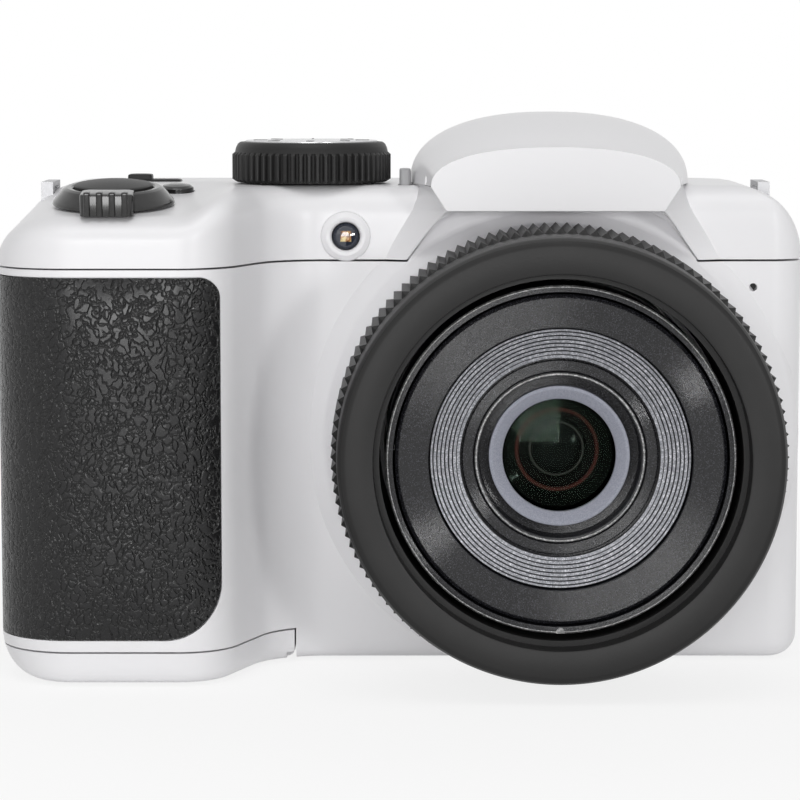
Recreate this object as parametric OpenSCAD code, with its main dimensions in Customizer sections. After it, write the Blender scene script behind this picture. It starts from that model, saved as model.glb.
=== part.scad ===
// Bridge camera: white moulded casing, telescoping zoom lens, pop-up flash, four-cell grip.
// Origin: mouth of the tripod socket. The lens looks along -Y, +X is to the right seen from the front.

/* [Casing] */
// Edge of the lens ring to the right side of the casing
side_margin = 5.1; // [4:0.1:10]
// Tripod socket to the front plane of the casing
body_front = 16; // [15.5:0.5:19]
// Tripod socket to the rear face of the casing
body_rear = 22; // [21.5:0.5:26]
// Tripod socket to the front of the grip
grip_front = 36; // [35:0.5:40]
// Lens axis to the right-hand corner of the grip
grip_edge = 48.5; // [44:0.5:53]
// Width that the side of the grip takes to sweep back to the front plane
grip_sweep = 8; // [6:0.5:10]
// Height of the flat control deck above the seam of the covers
deck_rise = 11; // [10.5:0.5:14]
// Forward slope of the deck over the grip, in degrees
deck_slope = 6.5; // [4:0.5:8]
// Wall thickness of the mouldings
wall = 2; // [1.6:0.1:2.2]
// Rounding of the two shoulders
shoulder_r = 10.5; // [8:0.5:10.5]
// Rounding of the deck's front and rear edges
deck_edge_r = 4.5; // [3:0.5:5]
// Rounding of the bottom edges
base_edge_r = 2.5; // [2.2:0.1:3]
// Rounding of the bottom corner under the grip
base_left_r = 6.5; // [4:0.5:8]
// Plane that parts the front cover from the rear cover
part_y = 5; // [4.8:0.1:5.4]
// Gap along the seams of the mouldings
seam_gap = 0.2; // [0.1:0.05:0.3]

/* [Grip skin] */
// Thickness of the rubber grip skin
skin_t = 0.8; // [0.6:0.1:1]
// Height of the skin's lower edge
skin_low = 6.6; // [6:0.2:10]
// Gap between the skin's upper edge and the seam of the covers
skin_top_gap = 1.3; // [1.2:0.1:8]

/* [Flash hump] */
// Height of the top of the flash lid above the deck
hump_rise = 10.8; // [8:0.2:14]
// Half width of the hump at the deck
hump_half_w = 21; // [19:0.5:22]
// Tripod socket to the hump's front panel
hump_front = 26; // [25:0.5:28]
// Panel's lower edge below the deck
panel_drop = 3.2; // [2.6:0.1:3.6]
// Panel's upper ridge above the deck
panel_rise = 6; // [4:0.2:7]
// Radius of the flash hinge pin
hinge_pin_r = 0.7; // [0.5:0.05:0.8]

/* [Lens] */
// Gap between the tripod socket and the lens tube
lens_clear = 0.7; // [0.4:0.1:2]
// Lens tube's outer wall to the tips of the lens ring's teeth
ring_over = 4.5; // [4:0.1:5]
// Depth of the lens ring's teeth
ring_tooth = 0.8; // [0.4:0.1:1]
// Number of teeth round the lens ring
ring_teeth = 124; // [80:2:150]
// Tripod socket to the front face of the lens ring
ring_front = 49; // [48:0.5:54]
// Gap between the larger barrel and the ring's front opening
bore_gap = 1.7; // [1.2:0.1:2]
// Outer radius of the larger moving barrel
barrel_r = 24.6; // [23:0.1:26]
// Wall of the barrels and the cam ring
tube_wall = 1; // [0.8:0.1:1.1]
// Running clearance between the barrels
slip = 0.3; // [0.2:0.05:0.35]
// How far the barrels sit behind the ring's front face
barrel_recess = 4.1; // [3:0.1:5]
// Radius of the clear front glass
glass_r = 8.05; // [7:0.05:8.4]
// Teeth of the cam ring's gear
cam_teeth = 68; // [60:1:76]
// Teeth of the zoom motor's pinion
pinion_teeth = 13; // [11:1:15]

/* [Controls] */
// Radius of the mode dial
dial_r = 12; // [10:0.5:12.5]
// Height of the mode dial
dial_t = 6; // [4:0.5:8]
// Number of ribs round the mode dial
dial_ribs = 60; // [40:2:72]
// Radius of the zoom lever at its foot
lever_r = 8.95; // [8:0.05:9.5]
// Radius of the shutter button
shutter_r = 5.7; // [4.5:0.1:6]
// Running clearance round buttons
button_slip = 0.2; // [0.1:0.05:0.3]

/* [Batteries and tripod socket] */
// Radius of a battery cell
cell_r = 7.25; // [6.5:0.05:8]
// Length of a battery cell
cell_len = 50.5; // [45:0.5:56]
// Height of the battery door's upper edge
door_h = 4.6; // [4.2:0.1:4.8]
// Inner radius of the tripod thread
thread_r = 2.56; // [2.4:0.02:3.2]
// Depth of the tripod socket
socket_h = 5.2; // [4.5:0.1:5.4]

/* [Hidden] */
$fn = 64;

white = [0.9, 0.9, 0.91];
black = [0.2, 0.2, 0.2];
grey = [0.55, 0.55, 0.58];
steel = [0.75, 0.76, 0.78];
brass = [0.75, 0.62, 0.3];
green = [0.1, 0.35, 0.2];
glass = [0.12, 0.14, 0.2];

far = 200;
arc_steps = 5;

// Lens radii outwards from the moving barrel, each a wall or a running clearance further out
cam_in = barrel_r + slip;
cam_out = cam_in + tube_wall + 0.2;
housing_in = cam_out + slip;
housing_wall = 1.5;
housing_r = housing_in + housing_wall;
ring_r = housing_r + ring_over;
ring_bore = barrel_r + bore_gap;
lens_h = socket_h + housing_r + lens_clear;

// Casing: the grip holds two cells by two, and the covers part just above the cells
cell_slip = 0.2;
cell_wall = 0.4;
cell_pitch = 2 * (cell_r + cell_wall);
grip_left = grip_edge + cell_pitch + 2 * cell_r + 2.7;
body_right = ring_r + side_margin;
cell_low = door_h + 1.6;
cell_top = cell_low + cell_len;
box_top = cell_top + 1.8;
seam_h = box_top + 1.5;
ring_to_deck = 4.8;
deck_h = max(seam_h + deck_rise, lens_h + ring_r + ring_to_deck);
hump_h = deck_h + hump_rise;
panel_low = deck_h - panel_drop;
panel_high = deck_h + panel_rise;
skin_high = seam_h - skin_top_gap;
skin_edge = grip_edge - 0.1;
door_end = grip_edge - 10.1;
hinge_y = body_rear - 4.5;
dial_x = hump_half_w + dial_r + 3;
shutter_x = grip_edge + 15.9;
shutter_y = grip_front - 14;
grip_corner_r = 11;
grip_edge_r = 9;
sweep_r = 10;
side_r = 5;

// Shape of the casing seen from above: a chain of corners, each turned into an arc.
function unit(v) = v / norm(v);
function turn(a) = a > 180 ? a - 360 : a < -180 ? a + 360 : a;
function corner_arc(before, at, after, r) =
    let (
        a = unit(before - at),
        b = unit(after - at),
        half = acos(a * b) / 2,
        centre = at + unit(a + b) * r / sin(half),
        first = at + a * r / tan(half) - centre,
        last = at + b * r / tan(half) - centre,
        start = atan2(first.y, first.x),
        sweep = turn(atan2(last.y, last.x) - start)
    )
    [for (i = [0 : arc_steps])
        let (angle = start + sweep * i / arc_steps)
        centre + r * [cos(angle), sin(angle)]];

sweep_dir = unit([grip_sweep, grip_front - body_front]);
sweep_out = [sweep_dir.y, -sweep_dir.x];
// Corner where the grip's sloping side, set in by d, meets the line y = -at + d
function sweep_corner(at, d) =
    let (t = (grip_front - at + d * (1 + sweep_out.y)) / sweep_dir.y)
    [-grip_edge, -grip_front] - sweep_out * d + sweep_dir * t;

// Front line of the casing from left to right, set in by left, right and front amounts
function front_line(left, right, front) =
    let (
        a = [-grip_left + left, -grip_front + front],
        b = sweep_corner(grip_front, front),
        c = sweep_corner(body_front, front),
        d = [body_right - right, -body_front + front]
    )
    concat(
        corner_arc([a.x, 0], a, b, max(1, grip_corner_r - max(left, front))),
        corner_arc(a, b, c, max(1, grip_edge_r - front)),
        corner_arc(b, c, d, sweep_r + front),
        corner_arc(c, d, [d.x, 0], max(1, side_r - max(right, front)))
    );

// Inset of a rounded edge of radius r at distance t from the face it leads to
function edge_inset(t, r) = t >= r || r <= 0 ? 0 : r - sqrt(max(0, r * r - pow(r - max(0, t), 2)));
function rear_line(x, x0, x1, y, r) =
    let (e = min(x - x0, x1 - x))
    y - edge_inset(max(0, e), r);

// How far the deck drops below its flat height at a point
function smooth(t) = let (u = min(1, max(0, t))) u * u * (3 - 2 * u);
deck_flat_x = grip_edge - 2.5;
deck_drop_x = grip_edge + 5.5;
function deck_drop(x, y) =
    -min(0, y) * tan(deck_slope) * smooth((-x - deck_flat_x) / (deck_drop_x - deck_flat_x));

// One level of the casing at height z: front line, then rear line, with the walls set in by w
function casing_ring(z, low, high, w) =
    let (
        left = w + max(edge_inset(z - low, base_left_r - w), edge_inset(high - z, shoulder_r - w)),
        right = w + max(edge_inset(z - low, base_edge_r + 1 - w), edge_inset(high - z, shoulder_r - w)),
        front = w + max(edge_inset(z - low, base_edge_r - w), edge_inset(high - z, deck_edge_r - w)),
        line = front_line(left, right, front),
        n = len(line),
        share = max(0, (z - seam_h) / (deck_h - seam_h)),
        back = [for (i = [n - 1 : -1 : 0])
            [line[i].x, rear_line(line[i].x, -grip_left + left, body_right - right, body_rear - front,
                max(1, side_r - w))]]
    )
    [for (p = concat(line, [[line[n - 1].x, 0]], back, [[line[0].x, 0]]))
        [p.x, p.y, z - share * deck_drop(p.x, p.y)]];

// Closed solid through a list of levels; both end faces have a middle row at y = 0
module loft(rings) {
    count = len(rings);
    m = len(rings[0]);
    n = m / 2 - 1;
    upper = (count - 1) * m;
    inner = [for (ring = [rings[0], rings[count - 1]], i = [1 : n - 2]) [ring[i].x, 0, ring[n].z]];
    sides = [for (k = [0 : count - 2], i = [0 : m - 1])
        let (j = (i + 1) % m, a = k * m, b = a + m)
        each [[a + i, b + i, b + j], [a + i, b + j, a + j]]];
    low_mid = concat([m - 1], [for (i = [0 : n - 3]) count * m + i], [n]);
    high_mid = concat([upper + m - 1], [for (i = [0 : n - 3]) count * m + n - 2 + i], [upper + n]);
    low = [for (i = [0 : n - 2])
        let (f = i, r = m - 2 - i, c = low_mid[i], d = low_mid[i + 1])
        each [[f, d, c], [f, f + 1, d], [c, r - 1, r], [c, d, r - 1]]];
    high = [for (i = [0 : n - 2])
        let (f = upper + i, r = upper + m - 2 - i, c = high_mid[i], d = high_mid[i + 1])
        each [[f, c, d], [f, d, f + 1], [c, r, r - 1], [c, r - 1, d]]];
    polyhedron(concat([for (ring = rings) each ring], inner), concat(sides, low, high), convexity = 6);
}

// Lower casing up to height top, its walls set in by w and its floor raised to floor_h
base_levels = [0, 0.05, 0.16, 0.36, 0.65];
module lower_form(w = 0, floor_h = 0, top = seam_h) {
    levels = concat([for (s = base_levels) floor_h + s * base_left_r], [floor_h + base_left_r, top]);
    loft([for (z = levels) casing_ring(z, floor_h, far, w)]);
}

// Top casing from the seam to the deck, its walls set in by w
deck_levels = [0.68, 0.42, 0.24, 0.11, 0.03, 0];
module upper_form(w = 0, low = seam_h) {
    high = deck_h - w;
    levels = concat([low, high - shoulder_r + w], [for (s = deck_levels) high - s * (shoulder_r - w)]);
    loft([for (z = levels) casing_ring(z, -far, high, w)]);
}

// A box given by its two corners
module block(a, b) {
    translate(a) cube(b - a);
}

// A disc or rod along Z, from z0 to z1
module rod_z(x, y, r, z0, z1) {
    translate([x, y, z0]) cylinder(h = z1 - z0, r = r);
}

// A disc or rod along Y, from y0 to y1
module rod_y(x, z, r, y0, y1) {
    translate([x, y1, z]) rotate([90, 0, 0]) cylinder(h = y1 - y0, r = r);
}

// A disc or rod along X, from x0 to x1
module rod_x(y, z, r, x0, x1) {
    translate([x0, y, z]) rotate([0, 90, 0]) cylinder(h = x1 - x0, r = r);
}

// A flat outline in X and Z, carried along Y from y0 to y1
module plate_y(y0, y1) {
    translate([0, y1, 0]) rotate([90, 0, 0]) linear_extrude(y1 - y0) children();
}

// A rounded rectangle between two corners
module rounded(a, b, r) {
    translate(a + [r, r]) offset(r = r) square(b - a - 2 * [r, r]);
}

// Puts a shape on the lens axis, with its local Z pointing forwards
module on_lens() {
    translate([0, 0, lens_h]) rotate([90, 0, 0]) children();
}

// A turned piece on the lens axis: outline points are radius and distance forwards
module turned(outline) {
    on_lens() rotate_extrude() polygon(outline);
}

// Lens pieces inside and in front of the moving barrel
inner_r = barrel_r - tube_wall - slip;
inner_in = inner_r - tube_wall - 0.2;
seat_gap = 0.1;
ring_len = 23.8;
boss_front = ring_front - ring_len - seat_gap;
boss_r = ring_r - 0.9;
boss_flare = 4.5;
boss_low = 0.6;
tongue_half = 21.5;
tongue_top_half = 15.5;
tongue_top = panel_low - 0.4;

// Front outline of the lens surround: wide below the seam, a tongue under the flash hump above it
function surround_outline(g, low) =
    let (shoulder = tongue_top - 2, side = tongue_top_half + 2)
    [
        [-far, low], [far, low], [far, seam_h - seam_gap / 2], [tongue_half + g, seam_h - seam_gap / 2],
        [side + g, shoulder], [tongue_top_half + g / 2, tongue_top + g],
        [-tongue_top_half - g / 2, tongue_top + g], [-side - g, shoulder],
        [-tongue_half - g, seam_h - seam_gap / 2], [-far, seam_h - seam_gap / 2]
    ];

// Outline of the grip skin, grown by g
skin_low_r = 8;
skin_high_r = 3;
function skin_points(g) =
    let (low = skin_low - g, high = skin_high + g, x = -skin_edge + g)
    concat(
        [[-far, high], [-far, low]],
        corner_arc([-far, low], [x, low], [x, high], skin_low_r + g),
        corner_arc([x, low], [x, high], [-far, high], skin_high_r + g)
    );

screw_x = 15;
screw_front_y = -9;
screw_rear_y = body_rear - wall - 1.4;
screw_head_r = 1.5;
screw_shank_r = 0.8;
screw_boss_r = 1.6;
screw_h = 7;
screw_places = [for (x = [-screw_x, screw_x], y = [screw_front_y, screw_rear_y]) [x, y]];
socket_r = 5;
socket_flange_r = 6.5;
mic_x = body_right - 7.6;
mic_z = seam_h - 4;
mic_hole_r = 0.6;
speaker_y = -4;
speaker_z = seam_h - 10;
speaker_r = 6;
door_clear = 0.25;

module casing_cavity() {
    lower_form(w = wall, floor_h = wall, top = seam_h + 1);
}

// Bosses that the bottom screws of one cover run into
module screw_bosses(y) {
    for (x = [-screw_x, screw_x]) rod_z(x, y, screw_boss_r, wall / 2, screw_h + 1);
}

module screw_holes() {
    for (p = screw_places) {
        rod_z(p.x, p.y, screw_head_r + 0.1, -1, wall - 0.6);
        rod_z(p.x, p.y, screw_shank_r + 0.02, -1, screw_h + 0.3);
    }
}

// Front half of the casing: grip bulge, lens surround and floor
module front_cover() {
    color(white) difference() {
        union() {
            difference() {
                intersection() {
                    lower_form();
                    block([-far, -far, -1], [far, part_y - seam_gap / 2, seam_h - seam_gap / 2]);
                }
                casing_cavity();
            }
            intersection() {
                on_lens() translate([0, 0, body_front - wall + 0.2])
                    cylinder(h = boss_front - body_front + wall - 0.2, r1 = boss_r + boss_flare, r2 = boss_r);
                plate_y(-far, far) polygon(surround_outline(0, boss_low));
            }
            screw_bosses(screw_front_y);
        }
        intersection() {
            plate_y(-far, part_y - 1 + seam_gap) polygon(skin_points(seam_gap / 2));
            difference() {
                block([-2 * far, -far, 0], [0, far, seam_h]);
                lower_form(w = skin_t + 0.05, floor_h = 0, top = seam_h + 1);
            }
        }
        block([-far, -far, -1], [-door_end + door_clear, far, door_h + door_clear]);
        on_lens() cylinder(h = boss_front + 1, r = housing_r + seat_gap);
        rod_y(mic_x, mic_z, mic_hole_r, -far, 0);
        rod_z(0, 0, socket_r + seat_gap, -1, wall + 1);
        screw_holes();
        for (dy = [-2.5, 0, 2.5], dz = [-2.5, 0, 2.5])
            rod_x(speaker_y + dy, speaker_z + dz, 0.5, body_right - wall - 1, body_right + 1);
    }
}

screen_low = [-33, 7];
screen_high = [body_right - 6.5, seam_h - 3];
screen_t = 1.2;
screen_r = 2;
window_edge = 2;
thumb_low = [-grip_left + 6, seam_h - 26];
thumb_high = [-grip_left + 21, seam_h - 3];
thumb_corner_r = 3;
thumb_rise = 2.2;
thumb_seat = 0.6;
port_y0 = 7;
port_y1 = 16;
port_z0 = 28;
port_z1 = 48;
port_t = 1.2;
port_hinge_r = 0.6;
port_plugs = [[31, 38], [40.5, 45.5]];

// Rear controls: x, z and radius
rear_r = 2.6;
record_at = [-grip_edge + 5.5, seam_h - 6];
play_at = [-grip_edge + 5.5, seam_h - 17];
menu_at = [-grip_edge - 16.5, 11];
delete_at = [-grip_edge + 6.5, 11];
pad_at = [-grip_edge - 5, 26.5];
pad_r = 10.5;
ok_r = 4.6;

// Rear half of the casing with the screen window and the control holes
module rear_cover() {
    color(white) difference() {
        union() {
            difference() {
                intersection() {
                    lower_form();
                    block([-far, part_y + seam_gap / 2, -1], [far, far, seam_h - seam_gap / 2]);
                }
                casing_cavity();
            }
            screw_bosses(screw_rear_y);
        }
        plate_y(body_rear - screen_t - seat_gap, far)
            rounded(screen_low - [seat_gap, seat_gap], screen_high + [seat_gap, seat_gap], screen_r);
        plate_y(0, far)
            rounded(screen_low + [window_edge, window_edge], screen_high - [window_edge, window_edge],
                screen_r);
        plate_y(body_rear - thumb_seat - seat_gap, far)
            rounded(thumb_low - [seat_gap, seat_gap], thumb_high + [seat_gap, seat_gap], thumb_corner_r);
        for (p = [record_at, play_at, menu_at, delete_at])
            rod_y(p.x, p.y, rear_r + button_slip, 10, far);
        rod_y(pad_at.x, pad_at.y, pad_r + button_slip, 10, far);
        block([body_right - port_t - seat_gap, port_y0 - door_clear, port_z0 - door_clear],
            [far, port_y1 + port_hinge_r + door_clear, port_z1 + door_clear]);
        for (z = port_plugs)
            block([body_right - wall - 1, port_y0 + 1, z[0]], [far, port_y1 - 1.5, z[1]]);
        screw_holes();
    }
}

// Leather-grained rubber skin round the grip
module grip_skin() {
    color(black) difference() {
        intersection() {
            lower_form();
            plate_y(-far, part_y - 1) polygon(skin_points(0));
        }
        lower_form(w = skin_t, floor_h = 0, top = seam_h + 1);
    }
}

// Rubber pad for the thumb on the back
module thumb_rest() {
    inner = [thumb_corner_r, thumb_corner_r];
    color(black) hull() {
        plate_y(body_rear - thumb_seat, body_rear + 0.4)
            rounded(thumb_low, thumb_high, thumb_corner_r, $fn = 32);
        plate_y(body_rear + 0.4, body_rear + thumb_rise)
            rounded(thumb_low + inner, thumb_high - inner, 2, $fn = 32);
    }
}

lug_t = 1.8;
lug_inset = 4.9;
lug_half = 5;
lug_slot_half = 3;
lug_top = deck_h + 0.2;
lug_bar = 0.7;
lug_slot_h = 1.1;
lug_low = deck_h - 6;
lug_places = [-grip_left + lug_inset, body_right - lug_inset];

// Steel strap lugs that stand through the two shoulders
module strap_lugs() {
    color(steel) for (x = lug_places) difference() {
        block([x - lug_t / 2, -lug_half, lug_low], [x + lug_t / 2, lug_half, lug_top]);
        block([x - lug_t, -lug_slot_half, lug_top - lug_bar - lug_slot_h],
            [x + lug_t, lug_slot_half, lug_top - lug_bar]);
    }
}

// Four screws under the casing, one group
module case_screws() {
    color(steel) for (p = screw_places) difference() {
        union() {
            rod_z(p.x, p.y, screw_head_r, 0.2, wall - 0.6);
            rod_z(p.x, p.y, screw_shank_r, 0.2, screw_h);
        }
        block([p.x - 0.9, p.y - 0.2, -1], [p.x + 0.9, p.y + 0.2, 0.7]);
        block([p.x - 0.2, p.y - 0.9, -1], [p.x + 0.2, p.y + 0.9, 0.7]);
    }
}

// Threaded tripod socket, flanged above the floor
module tripod_socket() {
    color(brass) difference() {
        union() {
            rod_z(0, 0, socket_r, 0, socket_h);
            rod_z(0, 0, socket_flange_r, wall + seat_gap, wall + 1.1);
        }
        rod_z(0, 0, thread_r, -1, socket_h - 0.5);
    }
}

cell_left = -grip_left + cell_r + 3.25;
cell_front = -grip_front + cell_r + 4.25;
cell_xs = [cell_left, cell_left + cell_pitch];
cell_ys = [cell_front, cell_front + cell_pitch];
box_gap = 0.3;
box_right = cell_xs[1] + cell_r + cell_slip + 0.75;
box_rear = cell_ys[1] + cell_r + cell_slip + 0.55;
contact_t = 0.4;

// Holder for the four cells
module battery_box() {
    color(black) difference() {
        intersection() {
            lower_form(w = wall + box_gap, floor_h = wall, top = far);
            block([-far, -far, door_h + door_clear + 0.15], [box_right, box_rear, box_top]);
        }
        for (x = cell_xs, y = cell_ys) rod_z(x, y, cell_r + cell_slip, 0, cell_top + 0.1);
        for (y = cell_ys)
            block([cell_xs[0] - 4.5, y - 3.5, cell_top], [cell_xs[1] + 4.5, y + 3.5, cell_top + 0.6]);
    }
}

module battery_cells() {
    color(grey) for (x = cell_xs, y = cell_ys) {
        rod_z(x, y, cell_r, cell_low, cell_top - 1);
        rod_z(x, y, 2.7, cell_top - 1, cell_top);
    }
}

// Bridging plates over the cells
module battery_contacts() {
    color(steel) for (y = cell_ys)
        block([cell_xs[0] - 4, y - 3, cell_top + 0.1], [cell_xs[1] + 4, y + 3, cell_top + 0.1 + contact_t]);
}

door_floor = 1.6;
knuckle_r = 1.2;
door_pin_r = 0.5;
pin_fit = 0.05;
door_pin = [-door_end - knuckle_r, knuckle_r + 0.05];
slider_y0 = -11;
slider_y1 = -3;
knuckle_y0 = -14;
door_y1 = part_y - seam_gap / 2 - 0.1;

// Door under the grip, a shallow tray hinged at its right-hand end
module battery_door() {
    color(white) difference() {
        union() {
            difference() {
                intersection() {
                    lower_form();
                    block([-far, -far, -1], [-door_end, door_y1, door_h]);
                }
                intersection() {
                    lower_form(w = door_floor, floor_h = door_floor, top = far);
                    block([-far, -far, 0], [-door_end - door_floor, door_y1 - door_floor, far]);
                }
                block([door_pin.x, -far, -1], [0, far, door_pin.y]);
            }
            rod_y(door_pin.x, door_pin.y, knuckle_r, knuckle_y0, door_y1);
        }
        rod_y(door_pin.x, door_pin.y, door_pin_r + pin_fit, -far, far);
        block([door_pin.x - knuckle_r - door_clear, slider_y0 - door_clear, -1],
            [0, slider_y1 + door_clear, far]);
    }
}

// Contact strips with their springs on the door
module door_contacts() {
    color(steel) for (x = cell_xs) union() {
        block([x - 4, cell_ys[0] - 4, door_floor], [x + 4, cell_ys[1] + 4, door_floor + contact_t]);
        for (y = cell_ys) translate([x, y, door_floor])
            cylinder(h = cell_low - door_floor - 0.2, r1 = 3.2, r2 = 1.6);
    }
}

slider_low = wall + 0.35;
slider_t = 1.15;
slider_reach = 8;

// Plate that carries the door's hinge and slides on the floor
module door_slider() {
    color(steel) difference() {
        union() {
            block([door_pin.x - 6, slider_y0, slider_low],
                [-door_end + slider_reach, slider_y1, slider_low + slider_t]);
            block([door_pin.x - knuckle_r, slider_y0, door_pin.y],
                [door_pin.x + knuckle_r, slider_y1, slider_low + slider_t]);
            rod_y(door_pin.x, door_pin.y, knuckle_r, slider_y0, slider_y1);
        }
        rod_y(door_pin.x, door_pin.y, door_pin_r + pin_fit, -far, far);
    }
}

module door_hinge_pin() {
    color(steel) rod_y(door_pin.x, door_pin.y, door_pin_r, knuckle_y0, door_y1 - 0.2);
}

card_low = [cell_xs[0] - 5.5, box_rear + 0.3, 6];
card_size = [24, 2.1, 32];
card_wall = 1.2;

// Sleeve that takes the memory card from below
module card_socket() {
    outer = card_size + [2 * card_wall, 2 * card_wall, card_wall];
    color(steel) difference() {
        block(card_low, card_low + outer);
        block(card_low + [card_wall, card_wall - 0.15, -1],
            card_low + [card_wall + card_size.x, card_wall + card_size.y + 0.15, card_size.z]);
    }
}

// Flap over the connectors on the right-hand side
module port_door() {
    color(white) {
        block([body_right - port_t, port_y0, port_z0], [body_right, port_y1, port_z1]);
        rod_z(body_right - port_hinge_r, port_y1, port_hinge_r, port_z0, port_z1);
    }
}

board_y = body_rear - 6.7;
board_t = 1.4;
port_depth = 5.8;

// Metal shells of the two connectors
module port_connector() {
    low = body_right - port_depth;
    color(steel) for (z = port_plugs) difference() {
        block([low, port_y0 + 1.3, z[0] + 0.3], [body_right - port_t - 0.3, port_y1 - 1.8, z[1] - 0.3]);
        block([low + 0.8, port_y0 + 2.1, z[0] + 1.1], [far, port_y1 - 2.6, z[1] - 1.1]);
    }
    color(steel) for (z = port_plugs)
        block([low, port_y1 - 1.8, z[0] + 0.3], [body_right - 4.7, board_y - 0.1, z[1] - 0.3]);
}

// Inner frame plate behind the lens
chassis_y = board_y - 1.8;
module chassis() {
    color(steel) block([-dial_x, chassis_y, wall + 0.2],
        [body_right - port_depth - 0.5, chassis_y + 1, seam_h - 3]);
}

top_board_z = seam_h + 1;
top_board_t = 1.2;
// Main board behind the chassis and the control board under the deck
module circuit_boards() {
    color(green) block([-dial_x, board_y, 4], [body_right - 4.5, board_y + board_t, seam_h - 4]);
    color(green) translate([0, 0, top_board_z]) linear_extrude(top_board_t) polygon([
        [-grip_left + 5, -grip_front + 9], [-grip_edge - 4, -grip_front + 9],
        [-grip_edge - 4, -body_front + 5], [-25, -body_front + 5],
        [-25, body_rear - 6], [-grip_left + 5, body_rear - 6]
    ]);
}

module screen_glass() {
    color(glass) plate_y(body_rear - screen_t, body_rear) rounded(screen_low, screen_high, screen_r);
}

module lcd_panel() {
    edge = window_edge + 1;
    color(grey) block([screen_low.x + edge, board_y + board_t + 0.7, screen_low.y + edge],
        [screen_high.x - edge, body_rear - screen_t - 0.4, screen_high.y - edge]);
}

// A button on the back: cap, and a flange behind the wall
rear_rise = 0.6;
flange_gap = 0.3;
module rear_button(at, r, rise = rear_rise, gap = flange_gap) {
    color(black) {
        rod_y(at.x, at.y, r, body_rear - wall - gap - 0.5, body_rear + rise);
        rod_y(at.x, at.y, r + 0.9, body_rear - wall - gap - 0.9, body_rear - wall - gap);
    }
}

module record_button() { rear_button(record_at, rear_r); }
module play_button() { rear_button(play_at, rear_r); }
module menu_button() { rear_button(menu_at, rear_r); }
module delete_button() { rear_button(delete_at, rear_r); }

pad_rise = 0.8;
pad_flange_gap = 0.8;
pad_pivot_r = 0.45;
pad_pivot_y = body_rear - wall - pad_flange_gap - pad_pivot_r;
// Four-way pad, which rocks on two small pivots at its sides
module four_way_pad() {
    color(black) difference() {
        union() {
            rear_button(pad_at, pad_r, pad_rise, pad_flange_gap);
            rod_x(pad_pivot_y, pad_at.y, pad_pivot_r, pad_at.x - pad_r - 1.6, pad_at.x + pad_r + 1.6);
        }
        rod_y(pad_at.x, pad_at.y, ok_r + button_slip, 0, far);
    }
}

module ok_button() {
    low = body_rear - wall - flange_gap - 2.9;
    color(black) {
        rod_y(pad_at.x, pad_at.y, ok_r, low, body_rear + pad_rise);
        rod_y(pad_at.x, pad_at.y, ok_r + 1.2, low, low + 0.9);
    }
}

module microphone() {
    color(black) rod_y(mic_x, mic_z, 2, -body_front + wall + seat_gap, -body_front + wall + 2);
}

module speaker() {
    color(black) rod_x(speaker_y, speaker_z, speaker_r, body_right - wall - 3, body_right - wall - 0.2);
}

capacitor_r = 6;
module flash_capacitor() {
    color(black) rod_y(body_right - 10, wall + 0.3 + capacitor_r, capacitor_r, -body_front + wall + 1, 11.5);
}

hinge_z = deck_h + 1.7;
hinge_knuckle_r = 1.4;
lid_base = deck_h + 0.3;
lid_front = -hump_front + 2.4;
lid_rear = hinge_y - 2;
lid_wall = 1.6;
lid_power = 2.3;
panel_half = 15.8;
panel_top_share = 0.86;
panel_top_half = panel_top_share * hump_half_w;
cheek_half = 24.5;
cheek_t = 0.5;
// Sections of the lid from front to rear: place along it, share of the width, share of the height
lid_shape = [
    [0, panel_top_share, (panel_high - lid_base) / (hump_h - lid_base)],
    [0.14, 0.91, 0.75], [0.33, 0.975, 0.93], [0.52, 1, 1],
    [0.72, 0.98, 0.9], [0.88, 0.93, 0.66], [1, 0.87, 0.36]
];
lid_arc = 16;
function signed_pow(v, e) = sign(v) * pow(abs(v), e);
// One arched section of the lid, set in by w
function lid_section(row, w, base) =
    let (
        y = lid_front + w + row[0] * (lid_rear - lid_front - 2 * w),
        half = row[1] * hump_half_w - w,
        high = row[2] * (hump_h - lid_base) + lid_base - w - base
    )
    [for (i = [0 : lid_arc])
        let (a = 180 * i / lid_arc)
        [-half * signed_pow(cos(a), 2 / lid_power), y, base + high * signed_pow(sin(a), 2 / lid_power)]];

// Closed solid through sections along Y
module arch_loft(rings) {
    count = len(rings);
    m = len(rings[0]);
    sides = [for (k = [0 : count - 2], i = [0 : m - 1])
        let (j = (i + 1) % m, a = k * m, b = a + m)
        each [[a + i, b + i, b + j], [a + i, b + j, a + j]]];
    first = [for (i = [1 : m - 2]) [0, i, i + 1]];
    last = [for (i = [1 : m - 2]) (count - 1) * m * [1, 1, 1] + [0, i + 1, i]];
    polyhedron([for (ring = rings) each ring], concat(sides, first, last), convexity = 6);
}

module lid_form(w = 0, base = lid_base) {
    arch_loft([for (row = lid_shape) lid_section(row, w, base)]);
}

head_half = 12.5;
head_y0 = lid_front + 1.1;
head_y1 = head_y0 + 9;
head_low = tongue_top + 0.4;
head_wall = 1.2;

// Lid that forms the hump's top, with the case of the flash head under it
module flash_lid() {
    color(white) difference() {
        union() {
            difference() {
                lid_form();
                lid_form(w = lid_wall, base = lid_base - 1);
            }
            intersection() {
                block([-head_half, head_y0, head_low], [head_half, head_y1, far]);
                union() {
                    lid_form();
                    block([-far, -far, 0], [far, far, lid_base + 0.5]);
                }
            }
            rod_x(hinge_y, hinge_z, hinge_knuckle_r, -6, 6);
            block([-6, lid_rear - lid_wall / 2, lid_base + 0.1], [6, hinge_y, hinge_z + hinge_knuckle_r]);
        }
        block([-head_half + head_wall, head_y0 - 1, head_low + head_wall],
            [head_half - head_wall, head_y1 - head_wall, deck_h + 1]);
        rod_x(hinge_y, hinge_z, hinge_pin_r + pin_fit, -far, far);
    }
}

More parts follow.
